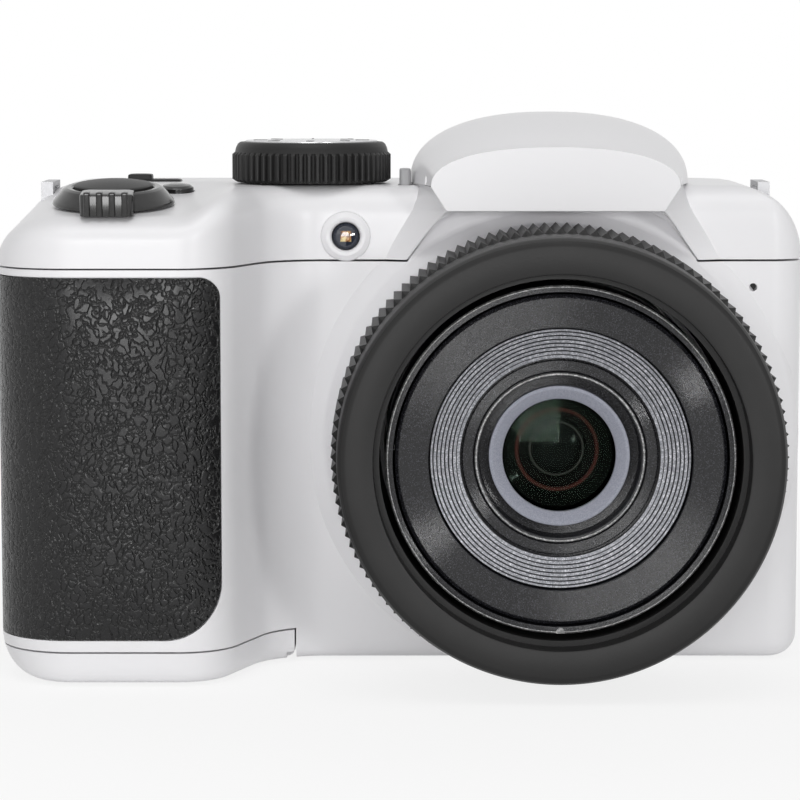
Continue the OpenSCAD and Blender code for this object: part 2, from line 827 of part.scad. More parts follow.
module flash_reflector() {
    low = head_low + head_wall + 0.1;
    color(steel) difference() {
        block([-head_half + head_wall + 0.2, head_y0 + 0.8, low],
            [head_half - head_wall - 0.2, head_y1 - head_wall - 0.1, deck_h + 0.9]);
        translate([0, head_y0 + 0.2, (low + deck_h + 0.9) / 2]) rotate([0, 90, 0])
            cylinder(h = 2 * head_half - 4, r = 1.6, center = true);
        rod_x(head_y0 + 3.5, (low + deck_h + 0.9) / 2, 1, -head_half + 2, head_half - 2);
    }
}

module flash_tube() {
    color(glass) rod_x(head_y0 + 3.5, (head_low + head_wall + 0.1 + deck_h + 0.9) / 2, 0.9,
        -head_half + 2.1, head_half - 2.1);
}

module flash_window() {
    color(grey) block([-head_half + head_wall + 0.1, head_y0 + 0.1, head_low + head_wall + 0.1],
        [head_half - head_wall - 0.1, head_y0 + 0.7, deck_h + 0.9]);
}

module flash_hinge_pin() {
    color(steel) rod_x(hinge_y, hinge_z, hinge_pin_r, -11.8, 11.8);
}

// Places on the deck, which slopes forwards over the grip
function deck_at(x, y) = deck_h - deck_drop(x, y);
module on_deck(x, y) {
    translate([x, y, deck_at(x, y)]) rotate([y < 0 && x < -deck_drop_x ? deck_slope : 0, 0, 0]) children();
}

dial_y = -4;
dial_shaft_r = 2.5;
lever_hub_r = shutter_r + 2 * button_slip + 0.8;
drive_at = [-grip_edge - 7.6, -9];
drive_r = 2.5;
power_x = -shutter_x;
power_w = 4.3;
power_y = 3;
power_travel = 4.4;
power_stem = 1.8;
release_at = [-hump_half_w - 0.8, -9.6];
release_size = [1.7, 4];
lamp_at = [-30.6, seam_h + 3.6];
lamp_boss_r = 3.8;
lamp_bezel_r = 2.8;
lamp_lens_r = 2;
board_posts = [[-grip_left + 9, 8], [-34, 11], [-grip_edge - 8, -grip_front + 12]];

// Top of the casing: control deck, shoulders and the base of the flash hump
module top_cover() {
    color(white) difference() {
        union() {
            difference() {
                upper_form(low = seam_h + seam_gap / 2);
                upper_form(w = wall, low = seam_h - 1);
            }
            plate_y(-hump_front, lid_front - 0.3) polygon(concat(
                [[-panel_half, deck_h - 1], [-panel_top_half, deck_h]],
                [for (p = lid_section(lid_shape[0], 0, lid_base)) [p.x, p.z]],
                [[panel_top_half, deck_h], [panel_half, deck_h - 1]]
            ));
            hull() {
                plate_y(-hump_front, lid_front - 0.3) polygon([
                    [-panel_half, panel_low], [-panel_top_half, deck_h],
                    [panel_top_half, deck_h], [panel_half, panel_low]
                ]);
                block([-hump_half_w, -body_front, deck_h - cheek_t],
                    [hump_half_w, -body_front + wall, deck_h]);
                block([-cheek_half, -body_front, seam_h + seam_gap / 2],
                    [cheek_half, -body_front + wall, seam_h + seam_gap / 2 + cheek_t]);
            }
            for (side = [-1, 1]) translate([side * 9.15, 0, 0]) {
                rod_x(hinge_y, hinge_z, hinge_knuckle_r, -2.85, 2.85);
                block([-2.85, hinge_y - hinge_knuckle_r, deck_h - 1],
                    [2.85, hinge_y + hinge_knuckle_r, hinge_z]);
            }
            for (p = board_posts)
                rod_z(p.x, p.y, 1.5, top_board_z + top_board_t + 0.1, deck_at(p.x, p.y) - 1);
        }
        plate_y(-far, -body_front + wall + 0.2) polygon(surround_outline(seam_gap, 0));
        block([-head_half - 0.5, lid_front + 0.3, 0], [head_half + 0.5, head_y1 + 0.5, far]);
        rod_x(hinge_y, hinge_z, hinge_pin_r + pin_fit, -far, far);
        rod_z(-dial_x, dial_y, dial_shaft_r + pin_fit, seam_h, far);
        on_deck(-shutter_x, -shutter_y) cylinder(h = 20, r = lever_hub_r + button_slip, center = true);
        on_deck(drive_at.x, drive_at.y) cylinder(h = 12, r = drive_r + button_slip, center = true);
        block([power_x + power_w / 2 - power_stem / 2 - 0.2, power_y - 1, seam_h],
            [power_x + power_w / 2 + power_stem / 2 + power_travel + 0.2, power_y + 1, far]);
        translate([release_at.x, release_at.y, deck_h])
            cube([release_size.x + 2 * button_slip, release_size.y + 2 * button_slip, 3 * wall],
                center = true);
        rod_y(lamp_at.x, lamp_at.y, lamp_bezel_r + seat_gap, -far, 0);
        for (x = lug_places)
            block([x - lug_t / 2 - seat_gap, -lug_half - seat_gap, seam_h],
                [x + lug_t / 2 + seat_gap, lug_half + seat_gap, far]);
    }
}

// Zigzag outline of a ribbed edge or a gear
function ribs(n, outer, inner, phase = 0) =
    [for (i = [0 : 2 * n - 1])
        let (r = i % 2 == 0 ? outer : inner, a = 180 * i / n + phase)
        r * [cos(a), sin(a)]];

dial_low = deck_h + 0.2;
dial_edge = 1.4;
// Mode dial with its shaft and the collar that holds it under the deck
module mode_dial() {
    color(black) translate([-dial_x, dial_y, 0]) {
        translate([0, 0, dial_low]) linear_extrude(dial_t - dial_edge)
            polygon(ribs(dial_ribs, dial_r, dial_r - 0.5));
        translate([0, 0, dial_low + dial_t - dial_edge])
            cylinder(h = dial_edge, r1 = dial_r - 0.3, r2 = dial_r - 0.8);
        translate([0, 0, deck_h - wall - 3]) cylinder(h = wall + 4, r = dial_shaft_r);
        translate([0, 0, deck_h - wall - 1.3]) cylinder(h = 1, r = dial_shaft_r + 2);
    }
}

module dial_cap() {
    color(steel) rod_z(-dial_x, dial_y, dial_r - 2, dial_low + dial_t, dial_low + dial_t + 0.3);
}

lever_t = 2.4;
lever_low = 0.25;
tab_half = 3.8;
tab_reach = 12.2;
// Zoom lever: cone round the shutter button with a ribbed finger tab in front
module zoom_lever() {
    color(black) on_deck(-shutter_x, -shutter_y) difference() {
        union() {
            translate([0, 0, lever_low]) cylinder(h = lever_t, r1 = lever_r, r2 = lever_r - 1.8);
            translate([0, 0, -wall - 0.8]) cylinder(h = wall + 1.2, r = lever_hub_r);
            block([-tab_half, -tab_reach, lever_low], [tab_half, -lever_r + 2, lever_low + 3.3]);
            for (x = [-2.7, -0.9, 0.9, 2.7])
                block([x - 0.4, -tab_reach - 0.5, lever_low], [x + 0.4, -tab_reach + 1, lever_low + 3.6]);
        }
        translate([0, 0, -20]) cylinder(h = 40, r = shutter_r + button_slip);
    }
}

shutter_rise = 3;
shutter_dome = 0.7;
shutter_stem_r = 1.8;
shutter_stem_low = 4.2;
shutter_skirt = 1.2;
// Shutter button with a shallow dome and a stem above the control board
module shutter_button() {
    dome_r = (shutter_r * shutter_r + shutter_dome * shutter_dome) / (2 * shutter_dome);
    color(black) on_deck(-shutter_x, -shutter_y) rotate_extrude() polygon(concat(
        [[0, -shutter_stem_low], [shutter_stem_r, -shutter_stem_low], [shutter_stem_r, -shutter_skirt],
            [shutter_r, -shutter_skirt]],
        [for (i = [0 : 6])
            let (r = shutter_r * (1 - i / 6))
            [r, shutter_rise + sqrt(dome_r * dome_r - r * r) - dome_r + shutter_dome]]
    ));
}

module drive_button() {
    color(grey) on_deck(drive_at.x, drive_at.y) rotate_extrude() polygon([
        [0, -4], [1.2, -4], [1.2, -wall - 1.2], [drive_r + 0.8, -wall - 1.2], [drive_r + 0.8, -wall - 0.4],
        [drive_r, -wall - 0.4], [drive_r, 0.6], [drive_r * 0.8, 0.95], [drive_r * 0.4, 1.15], [0, 1.2]
    ]);
}

// A knob on the deck with a stem through a slot and a foot below it
module slide_knob(at, size, stem) {
    translate([at.x, at.y, deck_h]) {
        block([-size.x / 2, -size.y / 2, 0.2], [size.x / 2, size.y / 2, size.z]);
        block([-stem.x / 2, -stem.y / 2, -wall - 1.2], [stem.x / 2, stem.y / 2, 0.3]);
        block([-stem.x / 2 - 0.7, -stem.y / 2 - 1, -wall - 1.2],
            [stem.x / 2 + 0.7, stem.y / 2 + 1, -wall - 0.3]);
    }
}

module power_switch() {
    color(black) slide_knob([power_x + power_w / 2, power_y], [power_w, 3.4, 1.2], [power_stem, 1.6]);
}

// Key beside the hump that frees the lid when pressed down
module flash_button() {
    color(grey) translate([release_at.x, release_at.y, deck_h]) {
        translate([-release_size.x / 2, -release_size.y / 2, -wall - 1.2])
            cube([release_size.x, release_size.y, wall + 3.7]);
        translate([-release_size.x / 2 - 0.6, -release_size.y / 2 - 0.6, -wall - 1.2])
            cube([release_size.x + 1.2, release_size.y + 1.2, 0.9]);
    }
}

// A turned piece on the front of the top cover: outline points are radius and distance forwards
module lamp_turned(outline) {
    translate([lamp_at.x, -body_front, lamp_at.y]) rotate([90, 0, 0]) rotate_extrude() polygon(outline);
}

module af_lamp_bezel() {
    color(white) lamp_turned([
        [lamp_lens_r + seat_gap, -wall - 0.5], [lamp_bezel_r, -wall - 0.5], [lamp_bezel_r, 0.05],
        [lamp_boss_r, 0.05], [lamp_bezel_r, 1.1], [lamp_lens_r + seat_gap, 0.7]
    ]);
}

module af_lamp_lens() {
    color([0.9, 0.6, 0.3]) lamp_turned([
        [0, -wall - 0.2], [lamp_lens_r, -wall - 0.2], [lamp_lens_r, 0.1], [lamp_lens_r * 0.7, 0.5],
        [lamp_lens_r * 0.35, 0.7], [0, 0.75]
    ]);
}

face = ring_front - barrel_recess;
ring_rear = boss_front + seat_gap;
cap_seat = 3.6;
cap_step = 0.8;
knurl_front = ring_front - 7.3;
ring_face_r = ring_r - 1.9;
rib_out = 18.3;
rib_in = 14.1;
retainer_r = glass_r + 1.95;
lens_seat_r = glass_r + 1.5;
gear_pitch_r = cam_out + 1.1;
gear_module = 2 * gear_pitch_r / cam_teeth;
sensor_y = chassis_y - 1.5;
gear_back = sensor_y - 3;
gear_t = 3;
gear_tip = 0.55 * gear_module;
gear_root = 0.75 * gear_module;
pinion_r = gear_module * pinion_teeth / 2;
gear_centres = gear_pitch_r + pinion_r + 0.3;
motor_angle = (floor(cam_teeth * 220 / 360) + 0.5) * 360 / cam_teeth;
motor_at = [gear_centres * cos(motor_angle), lens_h + gear_centres * sin(motor_angle)];
motor_r = gear_centres - housing_r - 0.3;
sensor_plate_t = 1.4;
focus_at = [0, lens_h + 20];
focus_screw_r = 0.9;
housing_rear = gear_back - 3.8;

// Knurled collar in front of the casing
module lens_ring() {
    color(black) difference() {
        union() {
            on_lens() translate([0, 0, ring_rear]) linear_extrude(knurl_front - ring_rear)
                polygon(ribs(ring_teeth, ring_r, ring_r - ring_tooth));
            turned([
                [0, knurl_front - 1], [ring_r - ring_tooth - 0.1, knurl_front - 1],
                [ring_r - ring_tooth - 0.1, knurl_front], [ring_face_r, ring_front - 0.8],
                [ring_face_r - 0.6, ring_front], [0, ring_front]
            ]);
        }
        on_lens() cylinder(h = far, r = ring_bore - cap_step);
        on_lens() translate([0, 0, ring_front - cap_seat]) cylinder(h = far, r = ring_bore);
    }
}

// Fixed tube that the lens turns and slides in, with three feet for the sensor plate
module lens_housing() {
    color(black) {
        turned([
            [housing_in, -housing_rear], [housing_r, -housing_rear],
            [housing_r, boss_front - 1], [housing_in, boss_front - 1]
        ]);
        on_lens() for (a = [35, 145, 325]) rotate([0, 0, a]) {
            block([housing_r - 0.8, -2, -housing_rear], [housing_r + 3.1, 2, -housing_rear + 2.2]);
            translate([housing_r + 1.9, 0, -sensor_y]) cylinder(h = sensor_y - housing_rear + 0.5, r = 1.2);
        }
    }
}

// Turning ring that drives the barrels, with its gear at the rear
module cam_ring() {
    color(grey) difference() {
        union() {
            turned([[cam_in, -gear_back - 1], [cam_out, -gear_back - 1],
                [cam_out, boss_front - 2], [cam_in, boss_front - 2]]);
            on_lens() translate([0, 0, -gear_back]) linear_extrude(gear_t)
                polygon(ribs(cam_teeth, gear_pitch_r + gear_tip, gear_pitch_r - gear_root));
        }
        on_lens() translate([0, 0, -far]) cylinder(h = 2 * far, r = cam_in);
    }
}

module outer_barrel() {
    bore = barrel_r - tube_wall;
    color(black) turned([
        [bore, -1], [barrel_r, -1], [barrel_r, face - 0.3], [barrel_r - 0.3, face], [bore, face]
    ]);
}

// Front barrel: tube, sloping face, seats for the trim ring and the glass
module inner_barrel() {
    color(black) turned([
        [inner_in, 2], [inner_r, 2], [inner_r, face - 0.5], [inner_r - 0.5, face],
        [rib_out + 0.3, face - 1.4], [rib_out + 0.3, face - 3.9], [rib_in - 0.3, face - 3.9],
        [rib_in - 0.3, face - 3.3], [retainer_r + 2.4, face - 3.3], [retainer_r + 2.1, face - 2.9],
        [retainer_r + 1.6, face - 2.9], [retainer_r + 1.4, face - 6.9], [lens_seat_r, face - 6.9],
        [lens_seat_r, face - 10.3], [glass_r + 0.4, face - 10.3], [glass_r + 0.4, face - 11.7],
        [inner_in, face - 11.7]
    ]);
}

rib_count = 6;
rib_depth = 0.3;
// Grey trim ring with concentric grooves
module ribbed_ring() {
    steps = 2 * rib_count;
    color(grey) turned(concat(
        [[rib_in, face - 3.9], [rib_out, face - 3.9]],
        [for (i = [0 : steps])
            [rib_out - (rib_out - rib_in) * i / steps,
                face - 1.7 - 1.2 * i / steps - (i % 2 == 1 ? rib_depth : 0)]]
    ));
}

module lens_retainer() {
    color(grey) turned([
        [glass_r, face - 6.6], [glass_r + 0.3, face - 6.9], [retainer_r, face - 6.9],
        [retainer_r, face - 5.2], [retainer_r - 0.8, face - 5.2], [glass_r, face - 6]
    ]);
}

module front_lens() {
    r = lens_seat_r - 0.05;
    color(glass) turned(concat(
        [[0, face - 10.2], [r, face - 10.2]],
        [for (i = [0 : 10]) let (s = 1 - i / 10) [r * s, face - 7.6 + 1.3 * (1 - s * s)]]
    ));
}

zoom_lens_r = 8;
zoom_back = 3;
zoom_rim_front = 6.5;
shutter_case_r = 15;
shutter_case_front = 10;
// Second lens group with the shutter, sliding inside the front barrel
module zoom_group() {
    r = inner_in - slip;
    color(black) turned([
        [0, zoom_back + 1], [zoom_lens_r, zoom_back + 1], [zoom_lens_r, zoom_back], [r, zoom_back],
        [r, zoom_rim_front], [shutter_case_r, zoom_rim_front], [shutter_case_r, shutter_case_front],
        [zoom_lens_r + 1, shutter_case_front], [zoom_lens_r, zoom_rim_front + 1], [0, zoom_rim_front + 1.7]
    ]);
}

// Focus lens in its carrier, with the arm that runs on the screw
module focus_group() {
    back = -6.5;
    color(black) difference() {
        union() {
            turned([[0, back + 0.4], [7, back + 0.4], [7, back], [12, back], [12, -4], [7, -4], [0, -4.4]]);
            block([-3, 4, lens_h + 10], [3, 6.5, focus_at.y + 2.5]);
        }
        rod_y(focus_at.x, focus_at.y, focus_screw_r + pin_fit, 0, 20);
    }
}

module focus_screw() {
    color(steel) rod_y(focus_at.x, focus_at.y, focus_screw_r, 1.6, sensor_y + sensor_plate_t - 0.1);
}

// Plate behind the lens that carries the image sensor
module sensor_plate() {
    color(steel) difference() {
        rod_y(0, lens_h, housing_r + 2.9, sensor_y, sensor_y + sensor_plate_t);
        rod_y(focus_at.x, focus_at.y, focus_screw_r + pin_fit, 0, far);
    }
}

module image_sensor() {
    color(green) block([-5, sensor_y - 1, lens_h - 4], [5, sensor_y, lens_h + 4]);
}

motor_shaft_r = 0.8;
module zoom_motor() {
    color(steel) {
        rod_y(motor_at.x, motor_at.y, motor_r, -body_front + wall + 0.5, gear_back - gear_t - 0.6);
        rod_y(motor_at.x, motor_at.y, motor_shaft_r, 0, gear_back + 0.3);
    }
}

module zoom_pinion() {
    color(brass) translate([motor_at.x, gear_back, motor_at.y]) rotate([90, 0, 0]) difference() {
        linear_extrude(gear_t)
            polygon(ribs(pinion_teeth, pinion_r + gear_tip, pinion_r - gear_root, motor_angle - 180));
        translate([0, 0, -1]) cylinder(h = gear_t + 2, r = motor_shaft_r + pin_fit);
    }
}

front_cover();
rear_cover();
top_cover();
grip_skin();
thumb_rest();
strap_lugs();
case_screws();
tripod_socket();
chassis();
battery_box();
battery_cells();
battery_contacts();
battery_door();
door_contacts();
door_slider();
door_hinge_pin();
card_socket();
circuit_boards();
port_door();
port_connector();
flash_lid();
flash_reflector();
flash_tube();
flash_window();
flash_hinge_pin();
flash_button();
flash_capacitor();
mode_dial();
dial_cap();
zoom_lever();
shutter_button();
drive_button();
power_switch();
af_lamp_bezel();
af_lamp_lens();
microphone();
speaker();
record_button();
play_button();
menu_button();
delete_button();
four_way_pad();
ok_button();
screen_glass();
lcd_panel();
lens_ring();
lens_housing();
cam_ring();
outer_barrel();
inner_barrel();
ribbed_ring();
lens_retainer();
front_lens();
zoom_group();
focus_group();
focus_screw();
zoom_motor();
zoom_pinion();
sensor_plate();
image_sensor();
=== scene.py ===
import bmesh
import bpy
import numpy as np
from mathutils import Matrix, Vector


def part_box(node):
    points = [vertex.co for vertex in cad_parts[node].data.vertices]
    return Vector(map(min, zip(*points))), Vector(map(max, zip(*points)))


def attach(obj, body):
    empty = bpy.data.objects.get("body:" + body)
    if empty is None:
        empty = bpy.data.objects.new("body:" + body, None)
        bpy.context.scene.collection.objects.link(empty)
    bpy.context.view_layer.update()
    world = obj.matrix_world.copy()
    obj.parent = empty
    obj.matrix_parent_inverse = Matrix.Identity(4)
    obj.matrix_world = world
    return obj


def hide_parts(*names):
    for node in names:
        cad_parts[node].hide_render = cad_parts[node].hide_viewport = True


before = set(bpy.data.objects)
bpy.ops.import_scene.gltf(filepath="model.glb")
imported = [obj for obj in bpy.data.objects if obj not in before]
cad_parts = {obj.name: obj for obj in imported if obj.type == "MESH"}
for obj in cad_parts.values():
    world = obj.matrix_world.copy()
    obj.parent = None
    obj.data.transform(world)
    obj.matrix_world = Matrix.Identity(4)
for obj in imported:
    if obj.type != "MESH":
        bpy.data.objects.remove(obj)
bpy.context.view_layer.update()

# Pressed and turned steel inside the casing: chassis, contacts, springs, pins, screws and motor.
# Folded from sheet or turned from bar, and held by screws and by the covers around them.


class Field:
    """A node socket that works in Python sums; each operator adds one Math node."""

    def __init__(self, tree, socket=None):
        self.tree = tree
        self.socket = socket

    def node(self, kind, settings=None, sockets=None, out=0):
        """Adds a node of a kind, sets its settings, then its sockets' values or links."""
        made = self.tree.nodes.new("ShaderNode" + kind)
        for name, value in (settings or {}).items():
            if name == "stops":
                for place, shade in value[2:]:
                    made.color_ramp.elements.new(place)
                for stop, (place, shade) in zip(made.color_ramp.elements, value):
                    stop.position = place
                    stop.color = (*np.broadcast_to(shade, 3), 1)
            else:
                setattr(made, name, value)
        for name, value in (sockets or {}).items():
            if isinstance(value, Field):
                self.tree.links.new(value.socket, made.inputs[name])
            else:
                made.inputs[name].default_value = value
        return Field(self.tree, made.outputs[out])

    def maths(self, operation, *values):
        """One Math node with an operation on values or links."""
        return self.node("Math", {"operation": operation}, dict(enumerate(values)))

    def __add__(self, other):
        return self.maths("ADD", self, other)

    def __sub__(self, other):
        return self.maths("SUBTRACT", self, other)

    def __rsub__(self, other):
        return self.maths("SUBTRACT", other, self)

    def __mul__(self, other):
        return self.maths("MULTIPLY", self, other)

    __radd__ = __add__
    __rmul__ = __mul__

    def place(self, stretch=(1, 1, 1), origin=(0, 0, 0)):
        """Object coordinates counted from a point in metres, stretched along the axes."""
        here = self.node("TexCoord", out="Object")
        shift = -np.multiply(origin, stretch)
        return self.node("Mapping", sockets={"Vector": here, "Location": shift, "Scale": stretch})

    def noise(self, place, scale, detail=2.0):
        """Cloudy level from nought to one at a place, finer with scale and rougher with detail."""
        return self.node("TexNoise", sockets={"Vector": place, "Scale": scale, "Detail": detail})

    def ramp(self, *stops):
        """A curve of this value; each stop is a place and a grey level or a colour."""
        return self.node("ValToRGB", {"stops": stops}, {"Fac": self})

    def mix(self, first, second):
        """Colour between two colours, with this value as the share of the second."""
        pair = [c if isinstance(c, Field) else (*c, 1) for c in (first, second)]
        return self.node("Mix", {"data_type": "RGBA"}, {0: self, 6: pair[0], 7: pair[1]}, out=2)


def finish(name, paint):
    """A material whose Principled sockets come from paint, a function of a fresh Field."""
    material = bpy.data.materials.new(name)
    material.use_nodes = True
    tree = material.node_tree
    shader = tree.nodes["Principled BSDF"]
    for socket, value in paint(Field(tree)).items():
        if socket == "Bump":
            height, depth = value
            value = height.node("Bump", sockets={"Strength": 1.0, "Distance": depth, "Height": height})
            socket = "Normal"
        if isinstance(value, Field):
            tree.links.new(value.socket, shader.inputs[socket])
        else:
            shader.inputs[socket].default_value = (*value, 1) if np.ndim(value) else value
    return material


def coat_nodes(material, *nodes):
    """Gives CAD nodes that are shown as they are their finish."""
    for node in nodes:
        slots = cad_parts[node].data.materials
        slots.clear()
        slots.append(material)


def pressed_steel(field):
    """Cold-rolled sheet: fine streaks along X and a little tarnish in patches."""
    streaks = field.noise(field.place((0.06, 1, 1)), 3000.0, 4.0)
    tarnish = field.noise(field.place(), 120.0, 3.0)
    return {
        "Base Color": tarnish.mix((0.62, 0.62, 0.63), (0.48, 0.47, 0.46)),
        "Roughness": streaks * 0.25 + 0.2,
        "Metallic": 1.0,
        "Bump": (streaks, 0.00001),
    }


steel_finish = finish("pressed_steel", pressed_steel)
coat_nodes(steel_finish, "chassis", "battery_contacts", "door_contacts", "door_slider", "door_hinge_pin",
           "card_socket", "port_connector", "flash_hinge_pin", "focus_screw", "zoom_motor", "sensor_plate",
           "case_screws")

# Brass pieces: the tripod socket, turned with a thread, and the zoom motor's pinion, hobbed from rod.
# The socket is pressed up through the floor until its flange stops it; the pinion sits on the shaft.


def turned_brass(field):
    """Brass from the lathe: rings of fine tool marks and a warm stain."""
    marks = field.noise(field.place((1, 1, 30)), 400.0, 2.0)
    stain = field.noise(field.place(), 300.0, 3.0)
    return {
        "Base Color": stain.mix((0.72, 0.55, 0.25), (0.55, 0.40, 0.17)),
        "Roughness": marks * 0.2 + 0.22,
        "Metallic": 1.0,
        "Bump": (marks, 0.00001),
    }


coat_nodes(finish("turned_brass", turned_brass), "tripod_socket", "zoom_pinion")

# Circuit boards and the image sensor: green lacquered laminate with copper tracks under the lacquer.
# The boards stand behind the lens and under the deck; the sensor is soldered to its plate.


def lacquered_board(field):
    """Laminate: straight tracks in two directions, with solder pads as small bright discs."""
    place = field.place()
    bricks = {"Vector": place, "Scale": 260.0, "Mortar Size": 0.03, "Color1": (0.0, 0.0, 0.0, 1),
              "Color2": (0.2, 0.2, 0.2, 1), "Mortar": (1, 1, 1, 1)}
    tracks = field.node("TexBrick", sockets=bricks)
    pads = field.node("TexVoronoi", sockets={"Vector": place, "Scale": 330.0}).ramp((0.18, 1.0), (0.22, 0.0))
    green = tracks.mix((0.012, 0.09, 0.035), (0.03, 0.17, 0.06))
    return {
        "Base Color": pads.mix(green, (0.6, 0.55, 0.45)),
        "Roughness": 0.42 - pads * 0.15,
        "Bump": (tracks, 0.00003),
    }


coat_nodes(finish("lacquered_board", lacquered_board), "circuit_boards", "image_sensor")

# Black mouldings inside: cell holder, lens tube, lens carriers, microphone, speaker and capacitor sleeve.
# Injection-moulded glass-filled nylon with an eroded tool finish, clipped or screwed to the chassis.


def filled_nylon(field):
    """Eroded moulding: even fine pits, with a faint flow pattern in the shade."""
    pits = field.noise(field.place(), 4500.0, 2.0)
    flow = field.noise(field.place((1, 1, 0.3)), 90.0, 3.0)
    return {
        "Base Color": flow.mix((0.016, 0.016, 0.017), (0.03, 0.03, 0.031)),
        "Roughness": pits * 0.2 + 0.42,
        "Bump": (pits, 0.00002),
    }


nylon_finish = finish("filled_nylon", filled_nylon)
coat_nodes(nylon_finish, "battery_box", "lens_housing", "zoom_group", "focus_group", "microphone", "speaker",
           "flash_capacitor")

# Cam ring and display panel: grey engineering plastic, smooth where parts slide on it.
# The cam ring turns in the lens tube and drives both barrels; the display sits behind its window.


def grey_acetal(field):
    """Sliding plastic: smooth, slightly mottled grey with circular polish marks."""
    mottle = field.noise(field.place(), 150.0, 4.0)
    marks = field.noise(field.place((1, 20, 1)), 500.0, 2.0)
    return {
        "Base Color": mottle.mix((0.20, 0.20, 0.21), (0.28, 0.28, 0.29)),
        "Roughness": marks * 0.2 + 0.3,
        "Bump": (marks, 0.00001),
    }


coat_nodes(finish("grey_acetal", grey_acetal), "cam_ring", "lcd_panel")

# Four battery cells: steel cans in a printed plastic sleeve with plain bands.
# They slide into the holder from below and the door's springs press them up.
cells_top = 0.0567


def cell_sleeve(field):
    """Sleeve in two plain bands along the cell, bare steel at the ends."""
    height = field.node("SeparateXYZ", sockets={"Vector": field.place()}, out="Z")
    scuffs = field.noise(field.place((1, 1, 0.2)), 700.0, 4.0)
    bands = (height * (1 / cells_top)).ramp((0.0, (0.55, 0.55, 0.56)), (0.13, (0.02, 0.05, 0.10)),
                                            (0.72, (0.50, 0.52, 0.54)), (0.98, (0.6, 0.6, 0.6)))
    bands.socket.node.color_ramp.interpolation = "CONSTANT"
    return {
        "Base Color": (scuffs * 0.25).mix(bands, (0.35, 0.36, 0.37)),
        "Roughness": scuffs * 0.2 + 0.2,
        "Metallic": 0.3,
        "Bump": (scuffs, 0.00001),
    }


coat_nodes(finish("cell_sleeve", cell_sleeve), "battery_cells")

# Front cover: white glossy moulding with the hand grip's bulge, the floor and the raised lens surround.
# Injection-moulded, hollowed to an even wall, opened for the lens, the battery door and the grip's skin.
# Shapes from here on are in millimetres, patterns in metres: X to the right, Y backwards and Z up.
grip_edge = 48.5
grip_left = -1000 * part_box("front_cover")[0].x
body_right = 1000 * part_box("front_cover")[1].x
body_front = 16
body_rear = 22
grip_front = 36
grip_sweep = 8
seam_h = 60
deck_h = 71
deck_slope = np.radians(6.5)
wall = 2
shoulder_r = 10.5
deck_edge_r = 4.5
base_edge_r = 2.5
base_left_r = 6.5
base_right_r = 3.5
grip_corner_r = 11
grip_edge_r = 9
sweep_r = 10
side_r = 5
least_r = 1
ease_from = grip_edge - 2.5
ease_width = 8
part_y = 5
seam_gap = 0.3
cover_top = seam_h - seam_gap / 2
past_seam = seam_h + 1
lens_h = 33.8
far = 120
ahead = -60
below = -5
moulding_edge = 0.2
sweep_run = np.array([grip_sweep, grip_front - body_front])
sweep_dir = sweep_run / np.hypot(*sweep_run)
sweep_out = np.array([sweep_dir[1], -sweep_dir[0]])


def shape(name, *grids):
    """A closed mesh from grids of points in millimetres: neighbours in rows and columns make quads,
    points that coincide are merged, and faces are turned outwards."""
    faces = []
    count = 0
    for grid in grids:
        rows, columns = grid.shape[:2]
        index = count + np.arange(rows * columns).reshape(rows, columns)
        corners = [index[:-1, :-1], index[:-1, 1:], index[1:, 1:], index[1:, :-1]]
        faces += np.stack(corners, -1).reshape(-1, 4).tolist()
        count += rows * columns
    mesh = bpy.data.meshes.new(name)
    mesh.from_pydata(np.concatenate([g.reshape(-1, 3) for g in grids]) / 1000, [], faces)
    work = bmesh.new()
    work.from_mesh(mesh)
    bmesh.ops.remove_doubles(work, verts=work.verts, dist=2e-6)
    bmesh.ops.dissolve_degenerate(work, edges=work.edges, dist=1e-7)
    bmesh.ops.recalc_face_normals(work, faces=work.faces)
    work.to_mesh(mesh)
    work.free()
    piece = bpy.data.objects.new(name, mesh)
    bpy.context.collection.objects.link(piece)
    return piece


def carve(piece, tool, operation="DIFFERENCE"):
    """Cuts a closed tool out of a closed piece, or keeps what they share, and drops the tool."""
    change = piece.modifiers.new("carve", "BOOLEAN")
    change.operation = operation
    change.solver = "EXACT"
    change.object = tool
    carved = bpy.data.meshes.new_from_object(piece.evaluated_get(bpy.context.evaluated_depsgraph_get()))
    piece.modifiers.clear()
    piece.data = carved
    bpy.data.objects.remove(tool)
    return piece


def join(name, *pieces):
    """Puts several meshes into one object as they are."""
    work = bmesh.new()
    for piece in pieces:
        work.from_mesh(piece.data)
        bpy.data.objects.remove(piece)
    mesh = bpy.data.meshes.new(name)
    work.to_mesh(mesh)
    work.free()
    whole = bpy.data.objects.new(name, mesh)
    bpy.context.collection.objects.link(whole)
    return whole


def dress(piece, material, body, nodes, edge=0.0, crease=32):
    """Smooth shading with sharp creases, rounded edges of a width in millimetres, finish and body."""
    piece.data.materials.clear()
    piece.data.materials.append(material)
    piece.data.shade_smooth()
    piece.data.set_sharp_from_angle(angle=np.radians(crease))
    if edge:
        rounding = piece.modifiers.new("edges", "BEVEL")
        rounding.width = edge / 1000
        rounding.segments = 2
        rounding.limit_method = "ANGLE"
        rounding.angle_limit = np.radians(crease)
        rounding.harden_normals = True
    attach(piece, body)
    if nodes:
        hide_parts(*nodes)
    return piece


def unit(vector):
    """Vectors divided by their own lengths."""
    return vector / np.linalg.norm(vector, axis=-1, keepdims=True)


